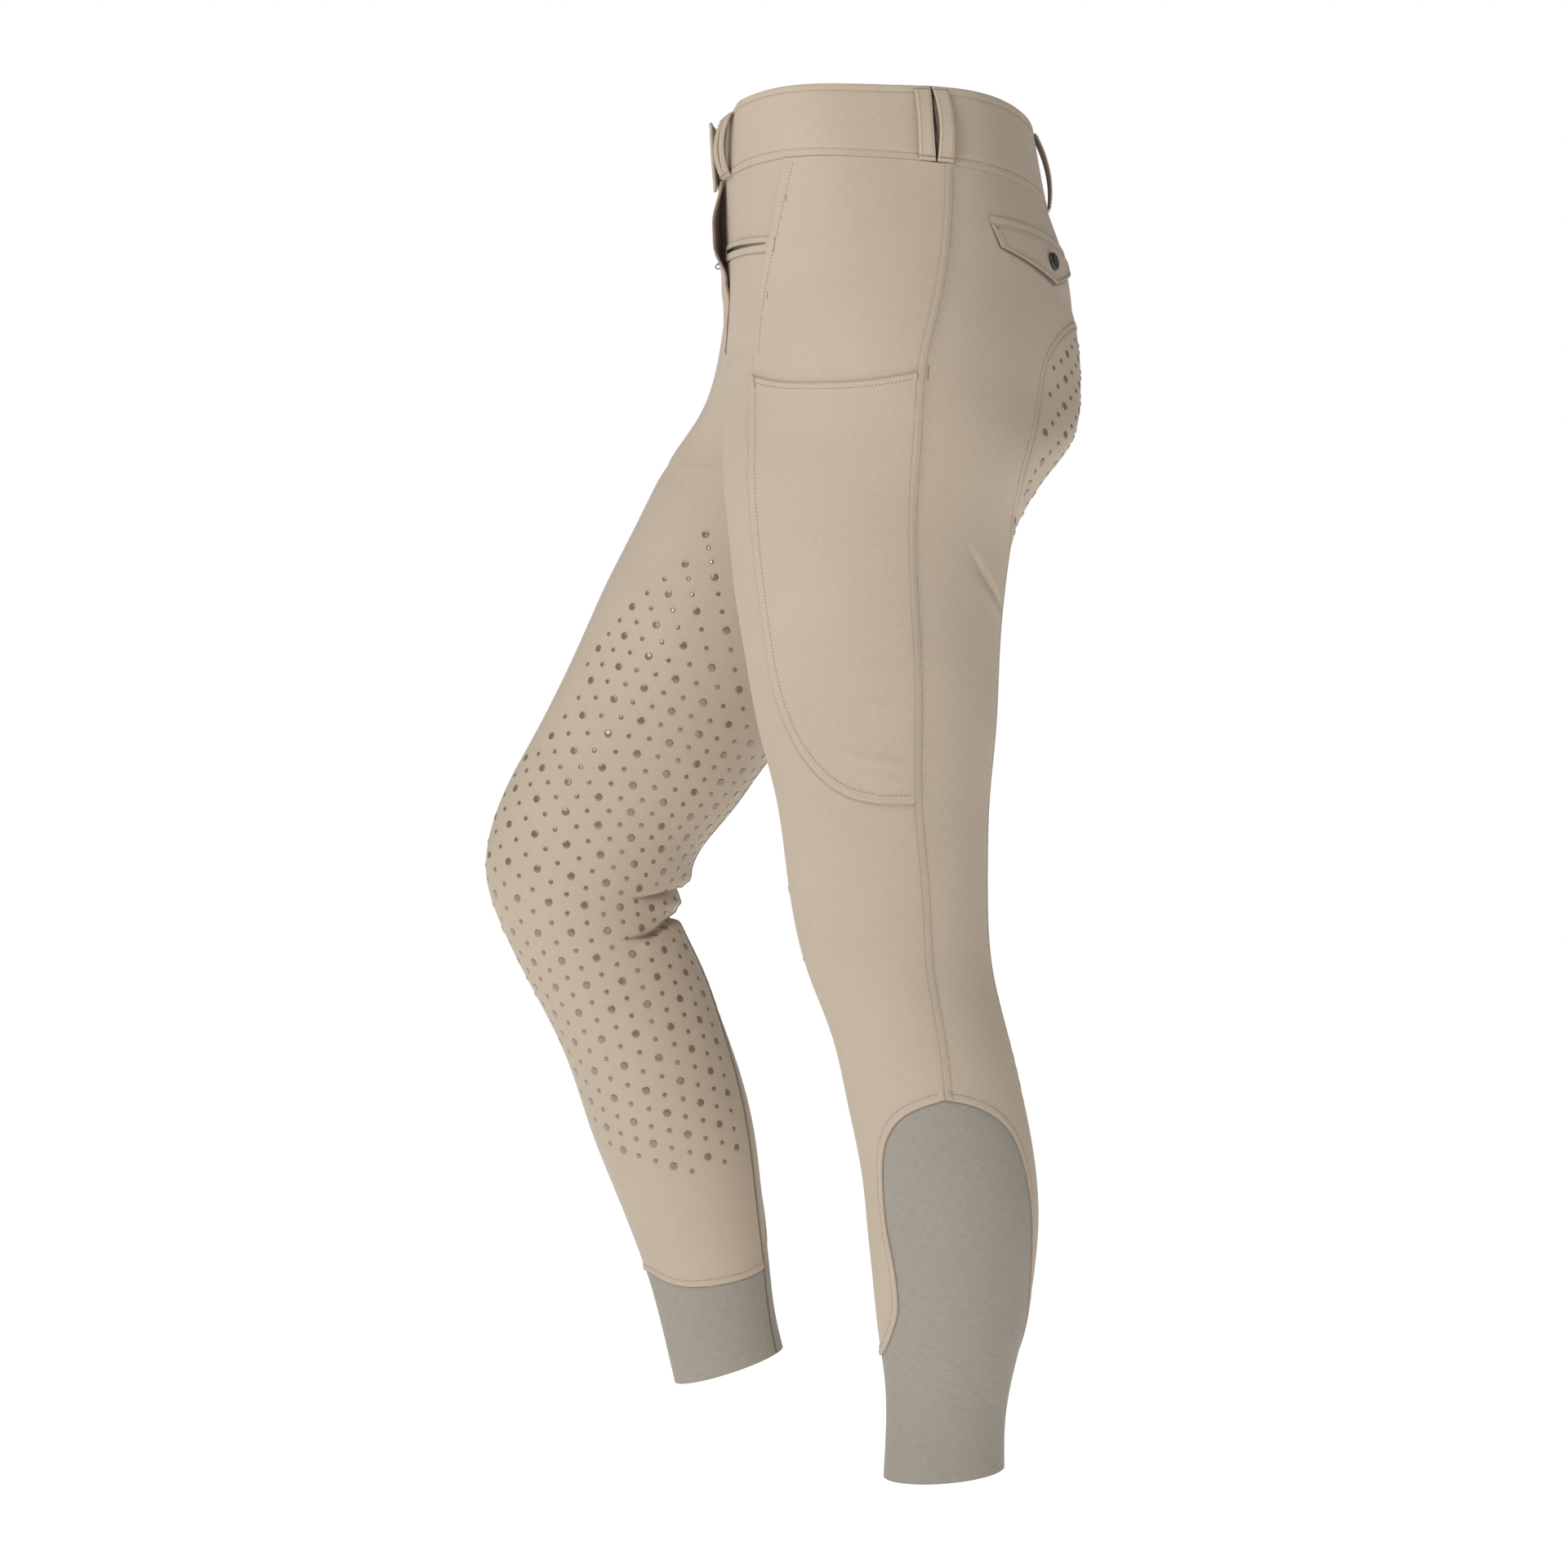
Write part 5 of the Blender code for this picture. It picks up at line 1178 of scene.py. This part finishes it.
loops = []
for name, turns, lean in LOOPS:
    loops.append((belt_loop(name + "_L", turns, lean), turns, lean))
    other = tuple(360 - turn for turn in turns[::-1])
    loops.append((belt_loop(name + "_R", other, -lean), other, -lean))
loops.append((belt_loop(*LOOP_BACK), *LOOP_BACK[1:]))


# ==================================================================== stitching
# Topstitching in a darker brown thread, about ten stitches in 25 mm. Each stitch is a short
# rounded piece of thread, its ends sunk into the cloth, joined into one mesh for each piece.
PITCH = 0.0025
STITCH = 0.0017
THREAD = 0.00025
THREAD_BROWN = (0.330, 0.240, 0.168)
THREAD_PALE = (0.390, 0.300, 0.220)


def wandering_tone(name, colour, scale, dark, pale, roughness, specular):
    """A plain finish whose tone wanders between a darker and a paler share of its colour."""
    material, nodes, links, shader = new_finish(name)
    where = nodes.new("ShaderNodeTexCoord")
    noise = add_node(nodes, "ShaderNodeTexNoise", {"Scale": scale})
    links.new(where.outputs["Object"], noise.inputs["Vector"])
    ramp = tone_ramp(nodes, (0.3, [dark * part for part in colour]), (0.7, [pale * part for part in colour]))
    links.new(noise.outputs["Fac"], ramp.inputs["Fac"])
    links.new(ramp.outputs["Color"], shader.inputs["Base Color"])
    set_inputs(shader, {"Roughness": roughness, "Specular IOR Level": specular})
    return material


thread = wandering_tone("brown_thread", THREAD_BROWN, 900.0, 0.75, 1.3, 0.6, 0.3)
pale_thread = wandering_tone("pale_thread", THREAD_PALE, 900.0, 0.75, 1.3, 0.6, 0.3)


def skin_of(piece):
    """A search tree over a cloth piece's faces."""
    mesh = piece.data
    return BVHTree.FromPolygons([v.co.copy() for v in mesh.vertices], [tuple(p.vertices) for p in mesh.polygons])


def laid_on(skin, guide, outwards):
    """Points brought onto the outer face of a piece, with the directions out of it."""
    places, normals = [], []
    for point, way in zip(guide, outwards):
        hit, normal, _, _ = skin.ray_cast(Vector(point + way * 0.012), Vector(-way), 0.03)
        if hit is None:
            hit, normal = Vector(point), Vector(way)
        places.append(hit)
        normals.append(normal)
    return np.array(places), np.array(normals)


def offset_line(side, line, distances, shares):
    """The line moved sideways over the cloth by a true distance that changes along it."""
    line = np.column_stack([np.interp(np.linspace(0, len(line) - 1, 6 * len(line)), np.arange(len(line)), part)
                            for part in line.T])
    angle, down = line[:, 0] / LAYOUT_RADIUS, line[:, 1]
    around = smooth_form(side, angle + 0.02, down) - smooth_form(side, angle - 0.02, down)
    scale = np.maximum(np.linalg.norm(around, axis=1) / (0.04 * LAYOUT_RADIUS), 0.2)
    way = np.gradient(line, axis=0)
    real = np.column_stack([way[:, 0] * scale, way[:, 1]])
    real /= np.maximum(np.linalg.norm(real, axis=1), 1e-9)[:, None]
    distance = np.interp(np.linspace(0, 1, len(line)), shares, distances)
    return line + np.column_stack([real[:, 1] / scale, -real[:, 0]]) * distance[:, None]


def stitch_ends(path, pitch=PITCH, length=STITCH):
    """Start and end of each stitch along a path, as places along it."""
    travel = np.concatenate([[0], np.cumsum(np.linalg.norm(np.diff(path, axis=0), axis=1))])
    count = max(1, int(travel[-1] / pitch))
    begin = (np.arange(count) + 0.15) * travel[-1] / count
    return travel, begin, begin + length


def sew(points_of, travel, begin, finish_at):
    """Corners and faces of stitches between places along a path."""
    ring = np.arange(6) * math.pi / 3
    shares = np.array([0.0, 0.14, 0.5, 0.86, 1.0])
    sizes = np.array([0.0, 0.85, 1.0, 0.85, 0.0])
    sunk = np.array([-0.9, 0.2, 0.45, 0.2, -0.9])
    at = begin[:, None] + (finish_at - begin)[:, None] * shares
    places, outs = points_of(at.ravel())
    places, outs = places.reshape(*at.shape, 3), outs.reshape(*at.shape, 3)
    way = places[:, -1] - places[:, 0]
    way /= np.maximum(np.linalg.norm(way, axis=1), 1e-9)[:, None]
    across = np.cross(way[:, None, :], outs)
    across /= np.maximum(np.linalg.norm(across, axis=2), 1e-9)[:, :, None]
    middle = places + outs * (sunk * THREAD)[None, :, None]
    rows = []
    for k in range(5):
        if sizes[k] == 0:
            rows.append(middle[:, k][:, None, :])
            continue
        spread = (np.cos(ring)[None, :, None] * across[:, k][:, None, :] * 1.15
                  + np.sin(ring)[None, :, None] * outs[:, k][:, None, :])
        rows.append(middle[:, k][:, None, :] + spread * THREAD * sizes[k])
    corners = np.concatenate(rows, axis=1)
    faces = []
    for k in range(6):
        m = (k + 1) % 6
        faces.append((0, 1 + m, 1 + k))
        faces.append((13 + k, 13 + m, 19))
        for start in (1, 7):
            faces.append((start + k, start + m, start + 6 + m))
            faces.append((start + k, start + 6 + m, start + 6 + k))
    faces = np.array(faces)
    stitches = len(begin)
    all_faces = (faces[None] + 20 * np.arange(stitches)[:, None, None]).reshape(-1, 3)
    return corners.reshape(-1, 3), all_faces


def joined_mesh(name, parts, material):
    """Many small shapes as one piece that goes with the garment."""
    points, faces, count = [], [], 0
    for corners, sides in parts:
        points.append(corners)
        faces.append(sides + count)
        count += len(corners)
    mesh = bpy.data.meshes.new(name)
    mesh.from_pydata(np.vstack(points).tolist(), [], np.vstack(faces).tolist())
    mesh.update()
    mesh.shade_smooth()
    mesh.materials.append(material)
    piece = bpy.data.objects.new(name, mesh)
    bpy.context.collection.objects.link(piece)
    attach(piece, "root")
    return piece


def row_on(side, skin, line):
    """One row of stitches along a line of the layout, on a piece's outer face."""
    angle, down = line[:, 0] / LAYOUT_RADIUS, line[:, 1]
    path = smooth_form(side, angle, down)
    travel, begin, end = stitch_ends(path)

    def points_of(at):
        angles, downs = np.interp(at, travel, angle), np.interp(at, travel, down)
        return laid_on(skin, form(side, angles, downs), outward(side, angles, downs))
    return sew(points_of, travel, begin, end)


def band_row(skin, turns, downs, pitch=PITCH):
    """One row of stitches over the waistband or a loop."""
    path = band_place(turns, downs, 0.0)
    travel, begin, end = stitch_ends(path, pitch)

    def points_of(at):
        turn, down = np.interp(at, travel, turns), np.interp(at, travel, downs)
        base = band_place(turn, down, 0.0)
        out = band_place(turn, down, 1.0) - base
        return laid_on(skin, base, out)
    return sew(points_of, travel, begin, end)


skins_of = {}
for side, layout in layouts.items():
    for key in ("front_and_inner_leg", "back", "side_panel", "phone_pocket", "back_pocket_flap"):
        skins_of[key, side] = skin_of(bpy.data.objects[f"{key}_cloth_{side}"])

# Rows of stitches: piece they lie on, line they follow, distance beside it at both ends, first and
# last share of the line.
ROWS = (
    ("back", "side_seam", (0.0050, 0.0050), 0.0, 1.0),
    ("side_panel", "panel_edge", (0.0088, 0.0060), 0.0, 0.272),
    ("phone_pocket", "panel_edge", (0.0066, 0.0062), 0.280, 0.995),
    ("phone_pocket", "panel_foot", (0.0055, 0.0055), 0.0, 0.9),
    ("phone_pocket", "mouth", (-0.0040, -0.0040), 0.03, 0.98),
    ("back", "wing", (-0.0045, -0.0045), 0.004, 0.985),
    ("front_and_inner_leg", "calf_front", (-0.0050, -0.0050), 0.012, 0.995),
    ("back", "calf_back", (0.0050, 0.0050), 0.012, 0.985),
    ("front_and_inner_leg", "cuff_top_front", (-0.0045, -0.0045), 0.02, 1.0),
    ("front_and_inner_leg", "cuff_top_back", (-0.0045, -0.0045), 0.0, 0.97),
)
for side, layout in layouts.items():
    parts = []
    for key, line, beside_it, first, last in ROWS:
        path = offset_line(side, layout["lines"][line], beside_it, (first, last))
        path = path[int(first * (len(path) - 1)):int(last * (len(path) - 1)) + 1]
        parts.append(row_on(side, skins_of[key, side], path[path[:, 1] > BAND_HEIGHT + 0.001]))
    joined_mesh(f"seam_stitching_{side}", parts, thread)

    parts = []
    flap = skins_of["back_pocket_flap", side]
    corners = layout["lines"]["flap_edge"]
    middle = corners.mean(axis=0)
    inset = []
    for (down, bearing), pull in zip(FLAP_EDGE, (0.10, 0.115, 0.12, 0.115, 0.10)):
        inset.append(flat(bearing, down) + (middle - flat(bearing, down)) * pull)
    inset[0] = inset[0] + [0.001, 0.0030]
    inset[-1] = inset[-1] + [-0.001, 0.0030]
    run = np.vstack([np.linspace(p, q, 40) for p, q in zip(inset[:-1], inset[1:])])
    parts.append(row_on(side, flap, run))
    across = layout["lines"]["flap_top"] + [0, 0.0026]
    parts.append(row_on(side, flap, across[1:-1]))
    joined_mesh(f"flap_stitching_{side}", parts, thread)

skin = skin_of(waistband)
whole = np.linspace(LAP_END - 360 + 1.4, LAP_END - 1.4, 400)
parts = [band_row(skin, whole, band_down(whole, np.full(400, row))) for row in BAND_STITCH]
joined_mesh("waistband_stitching", parts, thread)

parts = []
share = np.linspace(0.03, 0.97, 60)
for piece, strap_edges, lean in loops:
    skin = skin_of(piece)
    top = LOOP_TOP + band_dip(strap_edges[0])
    downs = top + (LOOP_FOOT - top) * share
    for strap in range(0, len(strap_edges), 2):
        low, high = strap_lines(strap_edges, lean, strap, share)
        for part in (0.17, 0.83):
            parts.append(band_row(skin, low + (high - low) * part, downs, 0.0022))
joined_mesh("belt_loop_stitching", parts, pale_thread)


# ==================================================================== bartacks
# Short dense zigzags of the same thread lock the ends of the pockets, the flaps and the loops.
def bartack(points_of, length, width, turns):
    """Zigzag stitches across a short line, each a piece of thread."""
    shares = np.linspace(0, 1, turns + 1)
    at = np.column_stack([shares * length, np.where(np.arange(turns + 1) % 2, width, -width) / 2])
    travel = np.concatenate([[0], np.cumsum(np.linalg.norm(np.diff(at, axis=0), axis=1))])

    def along(place):
        return points_of(np.interp(place, travel, at[:, 0]), np.interp(place, travel, at[:, 1]))
    return sew(along, travel, travel[:-1], travel[1:])


def tack_on(side, skin, down, bearing, length, width, lean=0.0):
    """A bartack on a panel: it runs down from its place, leaning towards the back."""
    turns = max(4, round(length / 0.0006))
    scale = float(np.linalg.norm(smooth_form(side, np.radians([bearing + 1.0]), np.array([down]))
                                 - smooth_form(side, np.radians([bearing]), np.array([down]))))

    def points_of(along, across):
        downs = down + along * math.cos(lean) + across * math.sin(lean)
        angles = np.radians(bearing + (along * math.sin(lean) - across * math.cos(lean)) / scale)
        return laid_on(skin, form(side, angles, downs), outward(side, angles, downs))
    return bartack(points_of, length, width, turns)


# Piece, distance down, bearing, length, width, lean in degrees.
TACKS = (
    ("phone_pocket", 0.1915, -52.6, 0.0095, 0.0012, 0),
    ("back", 0.1935, 5.8, 0.0095, 0.0012, 0),
    ("side_panel", 0.0995, -44.2, 0.0100, 0.0011, -12),
    ("side_panel", 0.1350, -48.2, 0.0050, 0.0011, 0),
    ("side_panel", 0.0740, -38.4, 0.0040, 0.0011, 0),
    ("back_pocket_flap", 0.0935, 31.0, 0.0022, 0.0042, 0),
    ("back_pocket_flap", 0.0975, 75.5, 0.0022, 0.0042, 0),
)
for side in layouts:
    parts = [tack_on(side, skins_of[key, side], down, bearing, length, width, math.radians(lean))
             for key, down, bearing, length, width, lean in TACKS]
    joined_mesh(f"bartacks_{side}", parts, thread)


def loop_tack(skin, low, high, down):
    """A bartack across one strap of a loop, between two turns."""
    ends = band_place(np.array([low, high]), np.full(2, down), 0.0)
    wide = float(np.linalg.norm(ends[1] - ends[0]))

    def points_of(along, across):
        turn = low + (high - low) * along / wide
        base = band_place(turn, down + across, 0.0)
        return laid_on(skin, base, band_place(turn, down + across, 1.0) - base)
    return bartack(points_of, wide, 0.0010, round(wide / 0.0005))


parts = []
for piece, strap_edges, lean in loops:
    skin = skin_of(piece)
    top = LOOP_TOP + band_dip(strap_edges[0])
    for strap in range(0, len(strap_edges), 2):
        for share in (0.04, 0.96):
            low, high = strap_lines(strap_edges, lean, strap, share)
            parts.append(loop_tack(skin, low, high, top + (LOOP_FOOT - top) * share))
joined_mesh("belt_loop_bartacks", parts, thread)


# ==================================================================== grip dots
# The seat and the inner leg are printed with raised silicone dots. Large and small flat domes
# with softly six-sided outlines lie in a slanting lattice and grip the saddle.
DOT_LARGE = 0.0029
DOT_SMALL = 0.0018
DOT_HIGH = 0.00050
DOT_DOWN = (-0.0023, -0.0132)     # step of the lattice up the leg: around, down
DOT_ROUND = (0.0117, -0.0072)     # step of the lattice around the leg
DOT_START = (0.0114, 0.0043)
DOT_BOUNDS = (0.12, 0.81, 0.22)   # rows kept from here down to here, and this far around
DOT_RINGS = ((0.60, 1.0), (0.86, 0.90), (0.96, 0.60), (1.0, -0.25))
PRINT_MARGIN = 0.0062
# Front edge of the print from the crotch to its foot: distance down, bearing past the inner line.
PRINT_FRONT = (
    (0.141, 181), (0.272, 181), (0.285, 192), (0.298, 203), (0.309, 207), (0.322, 214), (0.344, 218),
    (0.375, 224), (0.408, 238), (0.427, 238), (0.443, 234), (0.459, 236), (0.471, 238), (0.493, 244),
    (0.499, 261), (0.532, 266), (0.600, 268), (0.660, 262), (0.716, 252), (0.744, 246), (0.766, 218),
    (0.780, 193), (0.788, 180), (0.795, 165), (0.794, 144), (0.791, 119),
)
SILICONE = (0.190, 0.124, 0.076)


# Soft glossy silicone, a little see-through over the cloth, so its tone wanders.
silicone = wandering_tone("brown_silicone", SILICONE, 38.0, 0.86, 1.16, 0.36, 0.28)
set_inputs(silicone.node_tree.nodes["Principled BSDF"],
           {"Coat Weight": 1.0, "Coat Roughness": 0.12, "Coat IOR": 1.8})


def dot_places(side):
    """Angle, distance down and size of every dot of the lattice around one leg and its wing."""
    width = layouts[side]["width"]
    i, j = (part.ravel() for part in np.meshgrid(np.arange(-90, 60), np.arange(-60, 61)))
    around = DOT_START[0] + i * DOT_DOWN[0] + j * DOT_ROUND[0]
    down = DOT_START[1] + i * DOT_DOWN[1] + j * DOT_ROUND[1]
    kept = (down > DOT_BOUNDS[0]) & (down < DOT_BOUNDS[1]) & (np.abs(around) < DOT_BOUNDS[2])
    around, down, large = around[kept], down[kept], ((i - j) % 3 == 0)[kept]
    start, end, _, _ = centre_ends(side, down)
    front = around >= 0
    target = width(np.where(front, start, end), down) + around
    low, high = np.where(front, start, 0.0), np.where(front, 0.0, end)
    for _ in range(24):
        middle = (low + high) / 2
        short = width(middle, down) < target
        low, high = np.where(short, middle, low), np.where(short, high, middle)
    return low, down, large


def printed(side, angle, down):
    """Which places lie inside the print: the seat wing and the inner leg, clear of the seams."""
    lines = layouts[side]["lines"]
    turn = np.column_stack([np.where(angle < 0, angle + 2 * math.pi, angle) * LAYOUT_RADIUS, down])
    back = np.vstack([lines["wing"], lines["cuff_back"]])
    back = back[back[:, 1] < PRINT_FRONT[-1][0]]
    front = np.array([flat(bearing, at) for at, bearing in PRINT_FRONT])
    around = inside(turn, np.vstack([back, front[::-1]]))
    points = form(side, angle, down)
    clear = np.min([reach_to(layouts[side]["trees"][name], points)
                    for name in ("wing", "cuff_back", "centre_front", "centre_back")], axis=0)
    return around & (clear > PRINT_MARGIN)


def dome(segments, rings):
    """A flat dome: turn, share of the radius and height of its corners, and its faces."""
    corners, faces = [(0.0, 0.0, 1.0)], []
    for ring, (reach, height) in enumerate(rings):
        base = 1 + ring * segments
        for k in range(segments):
            turn, m = 2 * math.pi * k / segments, (k + 1) % segments
            corners.append((turn, reach * (1 + 0.04 * math.cos(6 * turn)), height))
            if ring == 0:
                faces.append((0, 1 + k, 1 + m))
            else:
                faces.append((base - segments + k, base + k, base + m))
                faces.append((base - segments + k, base + m, base - segments + m))
    return np.array(corners), np.array(faces)


def raise_dots(side, skin, angle, down, radius, shape, faces):
    """Domes standing on the outer face of a piece."""
    seats, outs = laid_on(skin, form(side, angle, down), outward(side, angle, down))
    below = form(side, angle, down + 0.001) - form(side, angle, down)
    below -= np.sum(below * outs, axis=1)[:, None] * outs
    below /= np.linalg.norm(below, axis=1)[:, None]
    across = np.cross(outs, below)
    turn, reach, height = shape.T
    spread = np.cos(turn)[None, :, None] * below[:, None] + np.sin(turn)[None, :, None] * across[:, None]
    corners = (seats[:, None] + spread * (reach * radius)[None, :, None]
               + outs[:, None] * (height * DOT_HIGH)[None, :, None])
    every = (faces[None] + len(shape) * np.arange(len(seats))[:, None, None]).reshape(-1, 3)
    return corners.reshape(-1, 3), every


for side in layouts:
    angle, down, large = dot_places(side)
    kept = printed(side, angle, down)
    angle, down, large = angle[kept], down[kept], large[kept]
    skin = skins_of["front_and_inner_leg", side]
    parts = [
        raise_dots(side, skin, angle[large], down[large], DOT_LARGE, *dome(12, DOT_RINGS)),
        raise_dots(side, skin, angle[~large], down[~large], DOT_SMALL, *dome(9, DOT_RINGS)),
    ]
    joined_mesh(f"grip_dots_{side}", parts, silicone)


# ==================================================================== snap buttons
# A round domed snap cap of dark nickel closes each back flap. Its rim is rolled and the middle
# is dished, and it stands just clear of the flap.
BUTTON_PLACE = (0.1085, 55.5)
BUTTON_RADIUS = 0.0062
BUTTON_HEIGHT = 0.0026
BUTTON_CLEAR = 0.0004
BUTTON_WALL = 0.55     # share of the height that is the straight wall
BUTTON_ROLL = 0.00035
# Rings of the dished top: share of the radius and of the height.
BUTTON_RINGS = ((0.93, 0.22), (0.80, 0.17), (0.66, 0.02), (0.56, -0.02), (0.30, 0.05), (0.10, 0.06))


def nickel_finish(name):
    """Dark plated metal with faint wear in its gloss."""
    material, nodes, links, shader = new_finish(name)
    where = nodes.new("ShaderNodeTexCoord")
    noise = add_node(nodes, "ShaderNodeTexNoise", {"Scale": 420.0})
    links.new(where.outputs["Object"], noise.inputs["Vector"])
    gloss = add_node(nodes, "ShaderNodeMapRange", {"To Min": 0.16, "To Max": 0.38})
    links.new(noise.outputs["Fac"], gloss.inputs["Value"])
    links.new(gloss.outputs["Result"], shader.inputs["Roughness"])
    set_inputs(shader, {"Base Color": (0.075, 0.072, 0.075, 1.0), "Metallic": 1.0})
    return material


def plated(piece, roll, bend):
    """Rolled edges and dark metal on a hard piece."""
    bevel = piece.modifiers.new("rolled_edges", "BEVEL")
    bevel.width = roll
    bevel.segments = 3
    bevel.angle_limit = math.radians(bend)
    bpy.ops.object.modifier_apply(modifier="rolled_edges")
    piece.data.shade_smooth()
    piece.data.materials.clear()
    piece.data.materials.append(nickel)


nickel = nickel_finish("dark_nickel")
for side in layouts:
    down, bearing = BUTTON_PLACE
    angle = np.array([math.radians(bearing)])
    seat = form(side, angle, np.array([down]))[0]
    normal = outward(side, angle, np.array([down]))[0]
    base = flap_lift(np.array([[angle[0] * LAYOUT_RADIUS, down]]))[0] + BUTTON_CLEAR
    lying = Vector(normal).to_track_quat("Z", "Y").to_euler()
    bpy.ops.object.select_all(action="DESELECT")
    bpy.ops.mesh.primitive_cylinder_add(vertices=40, radius=BUTTON_RADIUS, rotation=lying,
                                        location=seat + normal * (base + BUTTON_HEIGHT * BUTTON_WALL / 2),
                                        depth=BUTTON_HEIGHT * BUTTON_WALL)
    button = bpy.context.object
    button.name = f"snap_cap_{side}"
    bpy.ops.object.transform_apply(location=True, rotation=True, scale=True)
    mesh = button.data
    middle = sum((v.co for v in mesh.vertices), Vector()) / len(mesh.vertices)
    top = max(range(len(mesh.polygons)), key=lambda i: (mesh.polygons[i].center - middle).dot(Vector(normal)))
    up = Vector(normal)
    work = bmesh.new()
    work.from_mesh(mesh)
    work.faces.ensure_lookup_table()
    face = work.faces[top]
    shrunk = 1.0
    for reach, height in BUTTON_RINGS:
        bmesh.ops.inset_individual(work, faces=[face], thickness=0.0, depth=0.0)
        for vertex in face.verts:
            away = vertex.co - (middle + up * (vertex.co - middle).dot(up))
            vertex.co += away * (reach / shrunk - 1) + up * (height * BUTTON_HEIGHT)
        shrunk = reach
    work.to_mesh(mesh)
    work.free()
    plated(button, BUTTON_ROLL, 50)
    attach(button, "root")
    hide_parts(f"snap_button_{side}")


# ==================================================================== zip slider
# The zip is open, so its small dark metal slider and the ring of its pull sit at the foot of the
# mouth, just outside the fly.
SLIDER = (0.0022, 0.0014, 0.0042)
SLIDER_PLACE = (0.012, -0.1010)
SLIDER_CLEAR = 0.0004
SLIDER_ROLL = 0.0003
PULL_RING = (0.0017, 0.0004)

skin = skin_of(bpy.data.objects["fly_cloth"])
x, z = SLIDER_PLACE
seat, _, _, _ = skin.ray_cast(Vector((x, -0.3, z)), Vector((0, 1, 0)))
bpy.ops.object.select_all(action="DESELECT")
bpy.ops.mesh.primitive_cube_add(size=1, location=(x, seat.y - SLIDER_CLEAR - SLIDER[1] / 2, z), scale=SLIDER)
slider = bpy.context.object
slider.name = "zip_slider"
ring_place = (x, seat.y - SLIDER_CLEAR - SLIDER[1], z - SLIDER[2] / 2 - PULL_RING[0] * 0.6)
bpy.ops.mesh.primitive_torus_add(major_radius=PULL_RING[0], minor_radius=PULL_RING[1], major_segments=28,
                                 minor_segments=10, location=ring_place, rotation=(0.5, math.pi / 2, 0.3))
slider.select_set(True)
bpy.context.view_layer.objects.active = slider
bpy.ops.object.join()
bpy.ops.object.transform_apply(location=True, rotation=True, scale=True)
plated(slider, SLIDER_ROLL, 60)
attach(slider, "root")


# ==================================================================== studio
# A white room with a wide floor, one large soft light on each side of the camera, one above and a
# small one low down in front.
CAMERA_PLACE = (2.08, -0.0641, -0.468)
CAMERA_LENS = 67.5
FLOOR = -1.25
AIR_LIGHT = 0.24
AIR_WARMTH = (1.0, 0.938, 0.868)
LIGHTS = (
    ("key_light", (1.4, -1.45, 1.35), 1.6, 31.5),
    ("fill_light", (2.3, 0.9, 0.0), 1.4, 6.5),
    ("front_light", (-0.3, -1.3, 1.9), 1.2, 7.0),
    ("low_light", (1.33, -1.14, 0.0), 0.36, 3.2),
)


def studio_white(name, level, glow):
    """Plain matt white paint with a faint glow."""
    material, _, _, shader = new_finish(name)
    set_inputs(shader, {"Base Color": (level, level, level, 1.0), "Roughness": 0.95,
                        "Emission Color": (1.0, 1.0, 1.0, 1.0), "Emission Strength": glow})
    return material


white = studio_white("studio_white", 0.92, 0.80)
bpy.ops.mesh.primitive_plane_add(size=16, location=(-3.0, 0, FLOOR))
floor = bpy.context.object
floor.name = "studio_floor"
floor.data.materials.append(white)

world = bpy.data.worlds.new("studio_air")
bpy.context.scene.world = world
world.use_nodes = True
air = world.node_tree
seen = air.nodes.new("ShaderNodeLightPath")
bright = add_node(air.nodes, "ShaderNodeMapRange", {"To Min": AIR_LIGHT, "To Max": 1.0})
air.links.new(seen.outputs["Is Camera Ray"], bright.inputs["Value"])
air.links.new(bright.outputs["Result"], air.nodes["Background"].inputs["Strength"])
tone = add_node(air.nodes, "ShaderNodeMix", {"A": (*AIR_WARMTH, 1.0), "B": (1.0, 1.0, 1.0, 1.0)}, data_type="RGBA")
air.links.new(seen.outputs["Is Camera Ray"], tone.inputs["Factor"])
air.links.new(tone.outputs["Result"], air.nodes["Background"].inputs["Color"])
bpy.context.scene.view_settings.view_transform = "Standard"

for name, place, size, power in LIGHTS:
    light = bpy.data.lights.new(name, "AREA")
    light.energy = power
    light.size = size
    lamp = bpy.data.objects.new(name, light)
    lamp.location = place
    lamp.rotation_euler = (Vector((0, -0.05, -0.45)) - Vector(place)).to_track_quat("-Z", "Y").to_euler()
    bpy.context.collection.objects.link(lamp)

camera_data = bpy.data.cameras.new("studio_camera")
camera_data.lens = CAMERA_LENS
camera_data.sensor_width = 36.0
camera = bpy.data.objects.new("studio_camera", camera_data)
camera.location = CAMERA_PLACE
camera.rotation_euler = (math.pi / 2, 0.0, math.pi / 2)
bpy.context.collection.objects.link(camera)
bpy.context.scene.camera = camera
